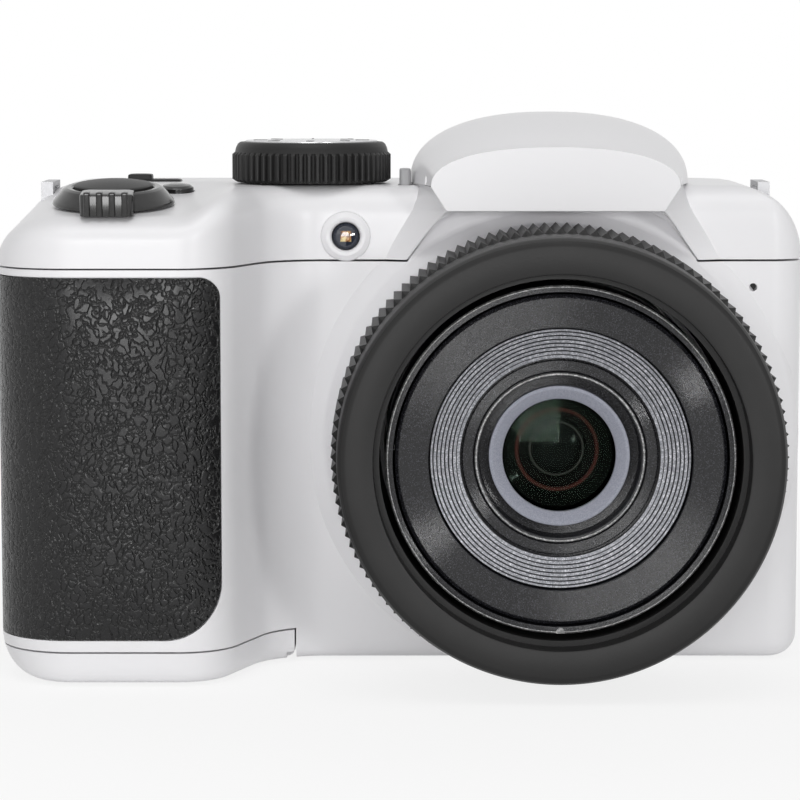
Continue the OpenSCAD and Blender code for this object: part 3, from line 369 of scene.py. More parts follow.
def corner(before, at, after, radius, steps=12):
    """Arc of a radius that rounds the corner at a point, tangent to the lines to both neighbours.
    All arguments may be arrays of corners; the arc's points are the last axis but one."""
    a = unit(before - at)
    b = unit(after - at)
    half = np.arccos(np.clip((a * b).sum(-1), -1, 1)) / 2
    radius = np.broadcast_to(radius, half.shape)
    centre = at + unit(a + b) * (radius / np.sin(half))[..., None]
    first = at + a * (radius / np.tan(half))[..., None] - centre
    last = at + b * (radius / np.tan(half))[..., None] - centre
    start = np.arctan2(first[..., 1], first[..., 0])
    sweep = np.arctan2(last[..., 1], last[..., 0]) - start
    sweep = (sweep + np.pi) % (2 * np.pi) - np.pi
    angle = start[..., None] + sweep[..., None] * np.linspace(0, 1, steps + 1)
    round_part = np.stack([np.cos(angle), np.sin(angle)], -1) * radius[..., None, None]
    return centre[..., None, :] + round_part


def soft_line(points, fillet, closed=False, steps=4):
    """A line through points whose corners are rounded to a fillet, or to less where a side is short."""
    points = np.array(points, float)
    if not closed:
        middle = points[1:-1]
        before, after = points[:-2], points[2:]
    else:
        middle, before, after = points, np.roll(points, 1, 0), np.roll(points, -1, 0)
    a = before - middle
    b = after - middle
    half = np.arccos(np.clip((unit(a) * unit(b)).sum(-1), -0.9999, 0.9999)) / 2
    room = 0.48 * np.minimum(np.linalg.norm(a, axis=-1), np.linalg.norm(b, axis=-1)) * np.tan(half)
    arcs = corner(before, middle, after, np.minimum(fillet, room), steps).reshape(-1, 2)
    return np.concatenate([arcs, arcs[:1]]) if closed else np.concatenate([points[:1], arcs, points[-1:]])


def edge_inset(depth, radius):
    """How far a rounded edge of a radius stands back at a depth below the face that it leads to."""
    radius = np.maximum(radius, 1e-6)
    depth = np.clip(depth, 0, radius)
    return radius - np.sqrt(np.maximum(0, radius**2 - (radius - depth) ** 2))


def sweep_corner(at, inset):
    """Where the grip's sloping side, set in, meets the line y = inset - at."""
    reach = (grip_front - at + inset * (1 + sweep_out[1])) / sweep_dir[1]
    return np.array([-grip_edge, -grip_front]) - sweep_out * inset[:, None] + sweep_dir * reach[:, None]


def deck_drop(x, y):
    """The deck slopes forwards over the grip, and eases into that slope beside it."""
    share = np.clip((-x - ease_from) / ease_width, 0, 1)
    return -np.minimum(0, y) * np.tan(deck_slope) * share**2 * (3 - 2 * share)


def casing(z, low, high, inset):
    """Levels of the casing as a grid of level, row from front to back, and column from left to right.
    The front line is four rounded corners; the sides, the floor's and the deck's edges are round."""
    shoulder = edge_inset(high - z, shoulder_r - inset)
    deck_edge = edge_inset(high - z, deck_edge_r - inset)
    left = inset + np.maximum(edge_inset(z - low, base_left_r - inset), shoulder)
    right = inset + np.maximum(edge_inset(z - low, base_right_r - inset), shoulder)
    front = inset + np.maximum(edge_inset(z - low, base_edge_r - inset), deck_edge)
    a = np.stack([left - grip_left, front - grip_front], -1)
    b = sweep_corner(grip_front, front)
    c = sweep_corner(body_front, front)
    d = np.stack([body_right - right, front - body_front], -1)
    behind_a = a * [1, 0]
    behind_d = d * [1, 0]
    arcs = [
        corner(behind_a, a, b, np.maximum(least_r, grip_corner_r - np.maximum(left, front))),
        corner(a, b, c, np.maximum(least_r, grip_edge_r - front)),
        corner(b, c, d, sweep_r + front),
        corner(c, d, behind_d, np.maximum(least_r, side_r - np.maximum(right, front))),
    ]
    flat_columns = (12, 8, 40)
    line = [arcs[0]]
    for before, after, count in zip(arcs, arcs[1:], flat_columns):
        share = np.linspace(0, 1, count + 2)[1:-1, None]
        line += [before[:, -1:] * (1 - share) + after[:, :1] * share, after]
    line = np.concatenate(line, 1)
    x = line[..., 0]
    side = np.minimum(x - x[:, :1], x[:, -1:] - x)
    rear = body_rear - front[:, None] - edge_inset(side, np.maximum(least_r, side_r - inset))
    share = np.array([1, 0.98, 0.94, 0.85, 0.65, 0.35, 0])[:, None]
    rows = [line[:, None, :, 1] * share, rear[:, None] * share[-2::-1]]
    y = np.concatenate(rows, 1)
    x = np.broadcast_to(x[:, None], y.shape)
    tilt = np.maximum(0, (z - seam_h) / (deck_h - seam_h))[:, None, None]
    return np.stack([x, y, z[:, None, None] - tilt * deck_drop(x, y)], -1)


def closed_levels(name, levels):
    """Closed solid through levels: the ring round every level, and the first and last level whole."""
    rings = [levels[:, 0], levels[:, 1:-1, -1], levels[:, -1, ::-1], levels[:, -2::-1, 0]]
    return shape(name, np.concatenate(rings, 1), levels[0], levels[-1])


quarter = 1 - np.cos(np.linspace(0, np.pi / 2, 15))


def lower_form(name, inset=0.0, floor_h=0.0, top=seam_h):
    """The casing from its floor up to a height, with its walls set in."""
    z = np.append(floor_h + base_left_r * quarter, 0.5 * (floor_h + base_left_r + top))
    return closed_levels(name, casing(np.append(z[z < top], top), floor_h, far, inset))


def box_form(name, low, high):
    """Box between two corners: six grids of two by two points."""
    x, y, z = np.stack([low, high], -1)
    ends = np.stack(np.meshgrid(x, y, z, indexing="ij"), -1)
    return shape(name, ends[0], ends[1], ends[:, 0], ends[:, 1], ends[:, :, 0], ends[:, :, 1])


def prism(name, outline, ends, axis="y"):
    """Outline in x and z carried along y, or in x and y carried along z: walls and two fans."""
    outline = np.asarray(outline, float)
    loop = np.concatenate([outline, outline[:1]])
    middle = np.broadcast_to(outline.mean(0), loop.shape)
    flat = np.stack([middle, loop, loop, middle])
    along = np.repeat([ends[0], ends[0], ends[1], ends[1]], len(loop)).reshape(4, -1)
    order = (flat[..., 0], along, flat[..., 1]) if axis == "y" else (flat[..., 0], flat[..., 1], along)
    return shape(name, np.stack(order, -1))


def revolve(profile, steps=96, ripple=None):
    """Profile of radius and height carried round the Z axis; ripple adds to the radius by the angle."""
    angle = np.linspace(0, 2 * np.pi, steps + 1)
    radius = np.repeat(profile[:, :1], steps + 1, 1)
    if ripple is not None:
        radius = radius + ripple(profile, angle)
    height = np.repeat(profile[:, 1:], steps + 1, 1)
    return np.stack([radius * np.cos(angle), radius * np.sin(angle), height], -1)


def on_lens(grid):
    """Turns a grid's Z axis forwards and puts it on the lens axis."""
    return np.stack([grid[..., 0], -grid[..., 2], lens_h + grid[..., 1]], -1)


def bore(name, at, radius, low, high, axis="y", steps=48):
    """Round cutter along an axis through a point of the other two."""
    rod = revolve(np.array([[0, low], [radius, low], [radius, high], [0, high]]), steps)
    turns = {"x": (2, 0, 1), "y": (0, 2, 1), "z": (0, 1, 2)}[axis]
    moved = rod[..., turns].copy()
    others = [i for i in range(3) if i != "xyz".index(axis)]
    moved[..., others] += at
    return shape(name, moved)


def halve(piece, y, keep):
    """Keeps the part of a closed solid in front of a plane across Y, or behind it, and caps the cut."""
    work = bmesh.new()
    work.from_mesh(piece.data)
    parts = [*work.verts, *work.edges, *work.faces]
    cut = bmesh.ops.bisect_plane(work, geom=parts, plane_co=(0, y / 1000, 0), plane_no=(0, keep, 0),
                                 clear_inner=True)
    edges = [e for e in cut["geom_cut"] if isinstance(e, bmesh.types.BMEdge)]
    bmesh.ops.edgenet_fill(work, edges=edges)
    bmesh.ops.recalc_face_normals(work, faces=work.faces)
    work.to_mesh(piece.data)
    work.free()
    return piece


def white_moulding(field):
    """Glossy white moulding: a whisper of texture, faint flow shade and handling marks in the gloss."""
    flow = field.noise(field.place(), 25.0, 3.0)
    orange_peel = field.noise(field.place(), 1400.0, 1.0)
    handling = field.noise(field.place((1, 1, 0.4)), 60.0, 3.0)
    return {
        "Base Color": flow.mix((0.80, 0.795, 0.81), (0.84, 0.835, 0.85)),
        "Roughness": handling * 0.05 + 0.28,
        "Specular IOR Level": 0.36,
        "Bump": (orange_peel, 0.000003),
    }


white_finish = finish("white_moulding", white_moulding)
boss_front = 25.1
boss_r = 31.5
boss_bore = 27.9
tongue_rim = 66
tongue_gap = 0.3
tongue = soft_line([(21.5, cover_top), (17.5, 65.4), (15.5, 67.4), (-15.5, 67.4), (-17.5, 65.4),
                    (-21.5, cover_top)], 1.2)


def surround(name, grow, low):
    """The lens surround seen from the front: all below the seam, and a tongue under the hump above it.
    The tongue grows outwards at its sides and upwards at its rim."""
    lower = np.array([(-far, cover_top), (-far, low), (far, low), (far, cover_top)])
    upper = tongue + grow * np.stack([np.sign(tongue[:, 0]), tongue[:, 1] > tongue_rim], -1)
    return prism(name, np.concatenate([lower, upper]), (ahead, -body_front + wall + 0.2))


skin_low = 6.6
skin_high = 58.7
skin_edge = 48.4
skin_low_r = 8.0
skin_high_r = 3.0
skin_bed = 0.85
skin_slip = 0.15


def skin_outline(grow):
    """The grip skin's outline from the front, with a wide corner below and a tight one above."""
    x = grow - skin_edge
    low = skin_low - grow
    high = skin_high + grow
    ends = np.array([(-far, low), (x, low), (x, high), (-far, high)])
    lower = corner(*ends[:3], skin_low_r + grow)
    upper = corner(*ends[1:], skin_high_r + grow)
    return np.concatenate([ends[[3, 0]], lower, upper])


door_h = 4.6
door_end = 38.4
door_gap = 0.25
mic_at = (29.9, 56)
mic_r = 0.6
lens_mouth_r = 28.0
socket_r = 5.1
screw_x = (-15, 15)
front_screw_y = -9
screw_r = 1.6
screw_deep = 1.4
sound_y = (-6.5, -4, -1.5)
sound_z = (47.5, 50, 52.5)
sound_r = 0.5
front_cover = halve(lower_form("front_cover_moulding", top=cover_top), part_y - seam_gap / 2, -1)
carve(front_cover, lower_form("cavity", wall, wall, past_seam))
recess = prism("recess", skin_outline(skin_slip), (ahead, part_y - 0.8))
carve(recess, lower_form("skin_bed", skin_bed, 0, past_seam))
carve(front_cover, recess)
carve(front_cover, box_form("door_mouth", (-far, -far, below), (door_gap - door_end, far, door_h + door_gap)))
openings = [bore("lens_mouth", (0, lens_h), lens_mouth_r, ahead, 0), bore("mic_hole", mic_at, mic_r, -20, 0),
            bore("socket_hole", (0, 0), socket_r, below, 5, "z")]
openings += [bore("screw_hole", (x, front_screw_y), screw_r, below, screw_deep, "z", 24) for x in screw_x]
openings += [bore("sound_hole", (y, z), sound_r, 34, 40, "x", 16) for y in sound_y for z in sound_z]
carve(front_cover, join("openings", *openings))
boss_line = np.array([(boss_bore, body_front - 2), (boss_r + 6, body_front - 2), (boss_r + 5, body_front),
                      (boss_r + 2.2, body_front + 1.4), (boss_r + 0.5, body_front + 5), (boss_r, boss_front),
                      (boss_bore, boss_front)])
boss = shape("lens_boss", on_lens(revolve(soft_line(boss_line, 2.0, True, 6), 160)))
carve(boss, surround("surround", 0, 0.6), "INTERSECT")
front_shell = join("front_shell", front_cover, boss)
dress(front_shell, white_finish, "camera_body", ["front_cover"], moulding_edge)

# Grip skin: black rubber moulded with a leather grain, bonded into a shallow bed round the grip.
# Its edge is rounded over and lies flush with the cover; its front swells to a crown of a millimetre.


def leather_rubber(field):
    """Leather grain: flat tops between thin winding creases, which run where either of two noises
    is at its middle level."""
    place = field.place((1, 1, 0.8))
    folds = [field.noise(field.place((1, 1, 0.8), origin), scale, 1.5) for scale, origin in
             ((640.0, (0, 0, 0)), (760.0, (0.3, 0.2, 0.1)))]
    offs = [(fold - 0.5).maths("ABSOLUTE", fold - 0.5) for fold in folds]
    tops = offs[0].maths("MINIMUM", *offs).ramp((0.0, 0.0), (0.012, 0.2), (0.04, 0.85), (0.06, 1.0))
    grain = field.noise(place, 5200.0, 2.0)
    return {
        # The creases are painted darker than the tops: this is painted shade in the creases.
        "Base Color": tops.mix((0.003, 0.003, 0.003), (0.011, 0.011, 0.0115)),
        "Roughness": grain * 0.2 + 0.16,
        "Specular IOR Level": 0.34,
        "Bump": (tops + grain * 0.05, 0.00013),
    }


def move_points(mesh, change):
    """Puts the points of a mesh where a function of all their places in millimetres says."""
    places = np.empty(3 * len(mesh.vertices))
    mesh.vertices.foreach_get("co", places)
    mesh.vertices.foreach_set("co", change(1000 * places.reshape(-1, 3)).ravel() / 1000)
    mesh.update()


crown_at = -63.5
crown_half = 13
crown_high = 1
crown_front = -26


def crowned_skin(places):
    """Points of the skin's front move forwards: most in the middle, and not at all at its borders."""
    x, y, z = places.T
    across = np.clip((x - crown_at) / crown_half, -1, 1)
    up = np.clip((2 * z - skin_low - skin_high) / (skin_high - skin_low), -1, 1)
    swell = crown_high * (1 - across**2) ** 1.5 * (1 - up**8) * (y < crown_front)
    return np.stack([x, y - swell, z], -1)


leather_finish = finish("leather_rubber", leather_rubber)
skin_thick = 0.8
skin_edge_r = 0.35
skin = prism("grip_leather", skin_outline(0), (ahead, part_y - 1))
carve(skin, lower_form("skin_outside", 0, 0, past_seam), "INTERSECT")
carve(skin, lower_form("skin_inside", skin_thick, 0, past_seam))
work = bmesh.new()
work.from_mesh(skin.data)
for cut_z in np.linspace(skin_low, skin_high, 26)[1:-1] / 1000:
    bmesh.ops.bisect_plane(work, geom=[*work.verts, *work.edges, *work.faces], plane_co=(0, 0, cut_z),
                           plane_no=(0, 0, 1))
work.to_mesh(skin.data)
work.free()
move_points(skin.data, crowned_skin)
dress(skin, leather_finish, "camera_body", ["grip_skin"], skin_edge_r)

# Battery door: the white tray that closes the bottom of the grip, hinged on a pin at its inner end.
# Moulded to the same form as the cover, with its knuckles in one piece; it slides, then swings down.
door_y = 4.75
door_wall = 1.6
door_knuckle_r = 1.2
slider_y = (-11.25, -2.75)
door_pin = (-door_end - door_knuckle_r, 1.25)
battery_door = halve(lower_form("battery_door_tray", top=door_h), door_y, -1)
carve(battery_door, box_form("door_side", (-door_end, -far, below), (far, far, far)))
hollow = lower_form("door_hollow", door_wall, door_wall, 20)
carve(hollow, box_form("door_wall", (-door_end - door_wall, -far, below), (far, far, far)))
carve(hollow, box_form("door_rear", (-far, door_y - door_wall, below), (far, far, far)))
carve(battery_door, hollow)
carve(battery_door, box_form("hinge_side", (door_pin[0], -far, below), (0, far, door_pin[1])))
carve(battery_door, box_form("slider_gap", (door_pin[0] - 1.45, slider_y[0], below), (0, slider_y[1], far)))
for y0, y1 in ((-14, slider_y[0]), (slider_y[1], door_y)):
    battery_door = join("battery_tray", battery_door, bore("knuckle", door_pin, door_knuckle_r, y0, y1))
dress(battery_door, white_finish, "battery_door", ["battery_door"], moulding_edge)

# Rear cover: white moulding that closes the back, with the screen's window and holes for the buttons.
# It meets the front cover along a vertical seam and is screwed from below.
screen_low = np.array([-33.0, 7.0])
screen_high = np.array([31.0, 57.0])
thumb_low = np.array([-75.0, 34.0])
thumb_high = np.array([-60.0, 57.0])
rear_buttons = {"record_button": (-43, 54), "play_button": (-43, 43), "menu_button": (-65, 11),
                "delete_button": (-42, 11)}
rear_r = 2.6
pad_at = (-53.5, 26.5)
pad_r = 10.5
button_slip = 0.2
bed_slip = 0.1
screen_r = 2
screen_rim = 2
thumb_r = 3
back_inside = 10
behind = 40
port_low = (36.2, 6.75, 27.75)
port_high = (far, 16.95, 48.25)
port_mouths = ((31, 38), (40.5, 45.5))
port_mouth_x = 34
port_mouth_y = (8, 14.5)
rear_screw_y = 18.6


def rounded_rectangle(low, high, radius):
    """Rectangle between two corners with its own corners rounded."""
    points = [(low[0], low[1]), (high[0], low[1]), (high[0], high[1]), (low[0], high[1])]
    return soft_line(points, radius, True, 8)[:-1]


screen_bed = rounded_rectangle(screen_low - bed_slip, screen_high + bed_slip, screen_r)
window = rounded_rectangle(screen_low + screen_rim, screen_high - screen_rim, screen_r)
thumb_bed = rounded_rectangle(thumb_low - bed_slip, thumb_high + bed_slip, thumb_r)
rear_cover = halve(lower_form("rear_cover_moulding", top=cover_top), part_y + seam_gap / 2, 1)
carve(rear_cover, lower_form("cavity", wall, wall, past_seam))
carve(rear_cover, prism("screen_bed", screen_bed, (body_rear - 1.3, behind)))
carve(rear_cover, prism("window", window, (back_inside, behind)))
carve(rear_cover, prism("thumb_bed", thumb_bed, (body_rear - 0.7, behind)))
openings = [bore("button_hole", at, rear_r + button_slip, back_inside, behind)
            for at in rear_buttons.values()]
openings += [bore("pad_hole", pad_at, pad_r + button_slip, back_inside, behind)]
openings += [bore("screw_hole", (x, rear_screw_y), screw_r, below, screw_deep, "z", 24) for x in screw_x]
carve(rear_cover, join("openings", *openings))
carve(rear_cover, box_form("port_bed", port_low, port_high))
for z0, z1 in port_mouths:
    carve(rear_cover, box_form("port_mouth", (port_mouth_x, port_mouth_y[0], z0), (far, port_mouth_y[1], z1)))
dress(rear_cover, white_finish, "camera_body", ["rear_cover"], moulding_edge)

# Thumb rest: black rubber pad with a crowned top, bonded into its bed on the back.
# Its grain is the grip skin's.
span = np.linspace(-1, 1, 41)
across, up = np.meshgrid(span, span)
crown = (1 - np.abs(across) ** 4) ** 0.5 * (1 - np.abs(up) ** 6) ** 0.5
corner_cut = 0.9
rest_edge_y = body_rear - 0.2
rest_base_y = body_rear - 0.6
rest_crown = 2.4
pad_mid = 0.5 * (thumb_low + thumb_high)
pad_half = 0.5 * (thumb_high - thumb_low)
pad_x = pad_mid[0] + across * (pad_half[0] - corner_cut * up**8)
pad_z = pad_mid[1] + up * (pad_half[1] - corner_cut * across**8)
rest_top = np.stack([pad_x, rest_edge_y + rest_crown * crown, pad_z], -1)
rest_base = np.stack([pad_x, np.full_like(pad_x, rest_base_y), pad_z], -1)
rest = np.stack([rest_top, rest_base])
rest_rim = [rest[:, 0], rest[:, -1], rest[:, :, 0], rest[:, :, -1]]
dress(shape("thumb_pad", *rest, *rest_rim), leather_finish, "camera_body", ["thumb_rest"])

# Port door: white flap over the two connectors on the right-hand side, hinged at the rear on its own roll.
# Moulded in one piece with its hinge roll and a finger notch.
flap_low = (36.3, 7, 28)
flap_high = (37.5, 16, 48)
notch_at = (7.2, 38)
notch_r = 1.6
notch_floor = 37.0
roll_at = (36.9, 16)
roll_r = 0.6
flap_edge = 0.25
flap = box_form("port_flap", flap_low, flap_high)
carve(flap, bore("finger_notch", notch_at, notch_r, notch_floor, 40, "x"))
roll = bore("hinge_roll", roll_at, roll_r, flap_low[2], flap_high[2], "z", 24)
dress(join("port_cover", flap, roll), white_finish, "port_door", ["port_door"], flap_edge)

# Top cover: white moulding with the control deck, the shoulders and the front of the flash hump.
# It drops over the covers below and is holed for the controls, the strap lugs and the flash head.
hump_h = 81.8
hump_half_w = 21
hump_front = 26
lid_base = 71.3
lid_front = 2.4 - hump_front
lid_rear = 15.5
lid_power = 2.3
panel_low = 67.8
panel_high = 77
panel_half = 15.8
panel_top_share = 0.86
hinge_y = 17.5
hinge_z = 72.7
hinge_r = 1.4
knuckle_x = (-9.15, 9.15)
knuckle_half = 2.85
shutter_at = (-64.4, -22)
drive_at = (-56.1, -9)
dial_at = np.array([-36.0, -4.0, 0.0])
lamp_at = np.array([-30.6, -body_front, 63.6])
lug_places = (-76.1, 32.6)
lug_slot_half = 1
lug_slot_reach = 5.1
lug_slot_low = 62
lamp_hole_r = 2.9
under_deck = 40
top_edge = 0.45


def upper_form(name, inset=0.0, low=seam_h):
    """The casing from the seam up to the deck, with its walls set in."""
    high = deck_h - inset
    z = np.concatenate([[low], high - (shoulder_r - inset) * quarter[::-1]])
    return closed_levels(name, casing(z, -far, high, inset))


def curve_through(points, count):
    """Smooth curve through points of place and values: a cubic between neighbours, its slope at each
    point the mean slope of the two sides."""
    points = np.array(points, float)
    place, values = points[:, 0], points[:, 1:]
    slope = np.gradient(values, place, axis=0)
    at = np.linspace(place[0], place[-1], count)
    k = np.clip(np.searchsorted(place, at, "right") - 1, 0, len(place) - 2)
    step = (place[k + 1] - place[k])[:, None]
    t = ((at - place[k]) / step[:, 0])[:, None]
    return (values[k] * (1 + 2 * t) * (1 - t) ** 2 + slope[k] * step * t * (1 - t) ** 2
            + values[k + 1] * t**2 * (3 - 2 * t) + slope[k + 1] * step * t**2 * (t - 1))


# Stations along the hump: place, share of its full width, share of its full height.
lid_shape = [(0, panel_top_share, (panel_high - lid_base) / (hump_h - lid_base)), (0.14, 0.91, 0.75),
             (0.33, 0.975, 0.93), (0.52, 1, 1), (0.72, 0.98, 0.9), (0.88, 0.93, 0.66), (1, 0.87, 0.36)]
lid_angle = np.linspace(0, np.pi, 65)


def lid_arches(inset=0.0, base=lid_base, count=49):
    """Arches of the hump from front to rear: each is a superellipse whose width and height follow
    smooth curves along the hump."""
    width, height = curve_through(lid_shape, count).T
    half = (width * hump_half_w - inset)[:, None]
    high = (height * (hump_h - lid_base) + lid_base - inset - base)[:, None]
    bend = 2 / lid_power
    x = -half * np.sign(np.cos(lid_angle)) * np.abs(np.cos(lid_angle)) ** bend
    z = base + high * np.abs(np.sin(lid_angle)) ** bend
    y = np.linspace(lid_front + inset, lid_rear - inset, count)[:, None]
    return np.stack([x, np.broadcast_to(y, x.shape), z], -1)


def arched(name, arches):
    """Closed solid through arches, with a floor and both ends as fans."""
    loops = np.concatenate([arches, arches[:, :1]], 1)
    ends = [np.stack([np.broadcast_to(end.mean(0), end.shape), end]) for end in (loops[0], loops[-1])]
    return shape(name, loops, *ends)


top_cover = upper_form("top_cover_moulding", low=seam_h + seam_gap / 2)
carve(top_cover, upper_form("top_cavity", wall, seam_h - 1))
carve(top_cover, surround("tongue_gap", tongue_gap, under_deck))

# The top cover's neck leads from the seam forwards to the hump's panel in a hollow curve, with slanting
# cheeks. It is one moulding with the cover; the flash head and the release key pass through it.
neck_z = np.linspace(seam_h + seam_gap / 2, lid_base - 0.1, 33)
neck_step = 1.2
neck_bend = 1.7
neck_sink = 0.3
panel_lip = 0.1
lid_gap = 0.25
cheek_in = 22
cheek_out = 25.5
cheek_lean = 5.1
rise = np.clip((neck_z - seam_h) / (panel_low - seam_h), 0, 1)
neck_front = -body_front - neck_step - (hump_front - panel_lip - body_front - neck_step) * rise**neck_bend
flare = np.clip((neck_z - panel_low) / (lid_base - panel_low), 0, 1)
front_half = cheek_in - (cheek_in - panel_half) * rise + (panel_top_share * hump_half_w - panel_half) * flare
back_half = cheek_out - cheek_lean * (neck_z - seam_h) / (lid_base - seam_h)
over = np.clip(neck_z - deck_h + shoulder_r, 0, shoulder_r)
back_y = neck_sink - body_front + shoulder_r - np.sqrt(shoulder_r**2 - over**2)
corners = [np.stack(p, -1) for p in ((-back_half, back_y), (-front_half, neck_front),
                                     (front_half, neck_front), (back_half, back_y))]
cheek_r = np.minimum(1.0, 0.4 * (4 - body_front - neck_front))
neck_line = np.concatenate([corners[0][:, None], corner(*corners[:3], cheek_r), corner(*corners[1:], cheek_r),
                            corners[3][:, None]], 1)
neck_levels = np.broadcast_to(neck_z[:, None, None], neck_line[..., :1].shape)
neck = arched("hump_neck", np.concatenate([neck_line, neck_levels], -1))
carve(neck, surround("tongue_gap", tongue_gap, under_deck))
panel_line = lid_arches()[0][:, [0, 2]]
panel_line = np.concatenate([[(-panel_half, panel_low)], panel_line, [(panel_half, panel_low)]])
panel = prism("hump_panel", panel_line, (-hump_front, lid_front - lid_gap))
knuckles = []
for x in knuckle_x:
    x0 = x - knuckle_half
    x1 = x + knuckle_half
    knuckles += [bore("roll", (hinge_y, hinge_z), hinge_r, x0, x1, "x"),
                 box_form("stand", (x0, hinge_y - hinge_r, deck_h - 1), (x1, hinge_y + hinge_r, hinge_z))]
head_hole = [(-13, lid_front + 0.3, under_deck), (13, -13, far)]
release_hole = [(-22.85, -11.8, under_deck), (-20.75, -7.4, far)]
carve(neck, join("neck_holes", box_form("head_hole", *head_hole), box_form("release_hole", *release_hole)))
power_slot = [(-63.4, 2, under_deck), (-56.7, 4, far)]
deck_holes = {"dial_hole": (dial_at[:2], 2.55), "lever_hole": (shutter_at, 7.2),
              "drive_hole": (drive_at, 2.7)}
openings = [bore(hole, at, radius, under_deck, far, "z") for hole, (at, radius) in deck_holes.items()]
openings += [bore("lamp_hole", lamp_at[[0, 2]], lamp_hole_r, -40, 0), box_form("head_hole", *head_hole),
             box_form("power_slot", *power_slot), box_form("release_hole", *release_hole)]
openings += [box_form("lug_slot", (x - lug_slot_half, -lug_slot_reach, lug_slot_low),
                      (x + lug_slot_half, lug_slot_reach, far)) for x in lug_places]
carve(top_cover, join("openings", *openings))
dress(join("top_shell", top_cover, neck, panel, *knuckles), white_finish, "camera_body", ["top_cover"],
      top_edge)

# Flash lid: white cap that forms the hump's top, with the case of the flash head under its front.
# A thin moulded arch on a steel pin at the rear; it springs up when the key beside it is pressed.
lid_wall = 1.6
thumb_notch_x = 19.9
thumb_notch_r = 1.3
head_y = lid_front + 1.1
head_half = 12.5
head_deep = 9
mouth_half = 11.3
mouth_deep = 7.8
mouth_top = 72
arm_half = 6
lid = arched("flash_lid_shell", lid_arches())
carve(lid, arched("lid_hollow", lid_arches(lid_wall, lid_base - 1)))
for side in (-1, 1):
    carve(lid, bore("thumb_notch", (side * thumb_notch_x, lid_base + 0.8), thumb_notch_r, lid_front - 1,
                    lid_front + 4.5))
head_case = box_form("flash_case", (-head_half, head_y, panel_low),
                     (head_half, head_y + head_deep, lid_base + 2))
carve(head_case, box_form("case_mouth", (-mouth_half, head_y - 1, panel_low + 1.2),
                          (mouth_half, head_y + mouth_deep, mouth_top)))
hinge = [bore("lid_roll", (hinge_y, hinge_z), hinge_r, -arm_half, arm_half, "x"),
         box_form("lid_arm", (-arm_half, lid_rear - 0.8, lid_base + 0.1),
                  (arm_half, hinge_y, hinge_z + hinge_r))]
flash_cap = join("flash_cap", lid, head_case, *hinge)
dress(flash_cap, white_finish, "flash_lid", ["flash_lid"], moulding_edge)

# Lens ring: black collar with fine triangular teeth, a smooth taper in front of them and a flat face.
# Moulded in one piece and pressed over the lens surround until it stops on the boss.
ring_teeth = 124
tooth_r = 32.0
tooth_h = 0.8
lens_centre = (0, 0, lens_h / 1000)


def satin_black(field):
    """Black moulding: fine eroded grain in the gloss, high spots rubbed a little paler."""
    grain = field.noise(field.place(), 5200.0, 2.0)
    rubbed = field.noise(field.place(), 180.0, 4.0)
    return {
        "Base Color": rubbed.mix((0.009, 0.009, 0.009), (0.016, 0.0155, 0.0155)),
        "Roughness": grain * 0.16 + 0.38,
        "Specular IOR Level": 0.26,
        "Bump": (grain, 0.00001),
    }


def teeth(profile, angle):
    """Rows at the tooth radius rise and fall in straight flanks, once for every tooth."""
    flank = np.abs(angle * ring_teeth / np.pi % 2 - 1) - 0.5
    return np.where(profile[:, :1] == tooth_r, tooth_h * flank, 0)


satin_finish = finish("satin_black", satin_black)
ring_line = np.array([(25.5, 25.2), (31.2, 25.2), (tooth_r, 25.6), (tooth_r, 41.2), (31.6, 41.7),
                      (31.4, 47.4), (31.25, 48.1), (30.95, 48.6), (30.5, 48.9), (30.1, 49.0), (26.6, 49.0),
                      (26.38, 48.92), (26.3, 48.7), (26.3, 45.4), (25.5, 45.4), (25.5, 25.2)])
collar = shape("lens_collar", on_lens(revolve(ring_line, 2 * ring_teeth, teeth)))
dress(collar, satin_finish, "camera_body", ["lens_ring"], crease=25)

# Outer zoom barrel: black painted tube that slides in the lens tube, its turned front edge left bright.
# A small grey half-round mark at the bottom of the rim shows which way up it goes.
turning_lean = 0.9


def lens_radius(field):
    """Distance from the lens axis in metres."""
    place = field.place((1, 0, 1), lens_centre)
    return field.node("VectorMath", {"operation": "LENGTH"}, {0: place}, out="Value")


def flake(field, scale):
    """A random level for every paint flake, from the colours of a cell pattern."""
    cells = field.node("TexVoronoi", sockets={"Vector": field.place(), "Scale": scale}, out="Color")
    return field.node("SeparateColor", sockets={"Color": cells})


def turned_black(field):
    """Black lacquer over turned rings too fine to see: the surface leans in or out by chance along the
    radius, which draws highlights out into radial streaks."""
    sparkle = flake(field, 9000.0)
    lean = field.node("TexWhiteNoise", {"noise_dimensions": "1D"}, {"W": lens_radius(field) * 1e5}) - 0.5
    outwards = field.node("VectorMath", {"operation": "NORMALIZE"}, {0: field.place((1, 0, 1), lens_centre)})
    leaning = field.node("VectorMath", {"operation": "SCALE"}, {0: outwards, "Scale": lean * turning_lean})
    flat = field.node("NewGeometry", out="Normal")
    return {
        "Base Color": sparkle.ramp((0.0, (0.004, 0.004, 0.005)), (0.8, (0.010, 0.010, 0.012)),
                                   (1.0, (0.05, 0.05, 0.06))),
        "Roughness": sparkle * 0.05 + 0.11,
        "Specular IOR Level": 0.46,
        "Normal": field.node("VectorMath", {"operation": "ADD"}, {0: flat, 1: leaning}),
    }


def bright_edge(field):
    """Bare turned edge: grey metal with coarse sparkle."""
    sparkle = flake(field, 5000.0)
    return {
        "Base Color": sparkle.ramp((0.0, 0.12), (0.6, 0.20), (1.0, 0.45)),
        "Roughness": sparkle * 0.25 + 0.28,
        "Metallic": 0.7,
        "Bump": (sparkle, 0.00002),
    }


def lens_turned(name, points, fillet=0.12, steps=160):
    """Ring turned about the lens axis from a closed line of radius and forward distance."""
    return shape(name, on_lens(revolve(soft_line(points, fillet, True, 3), steps)))


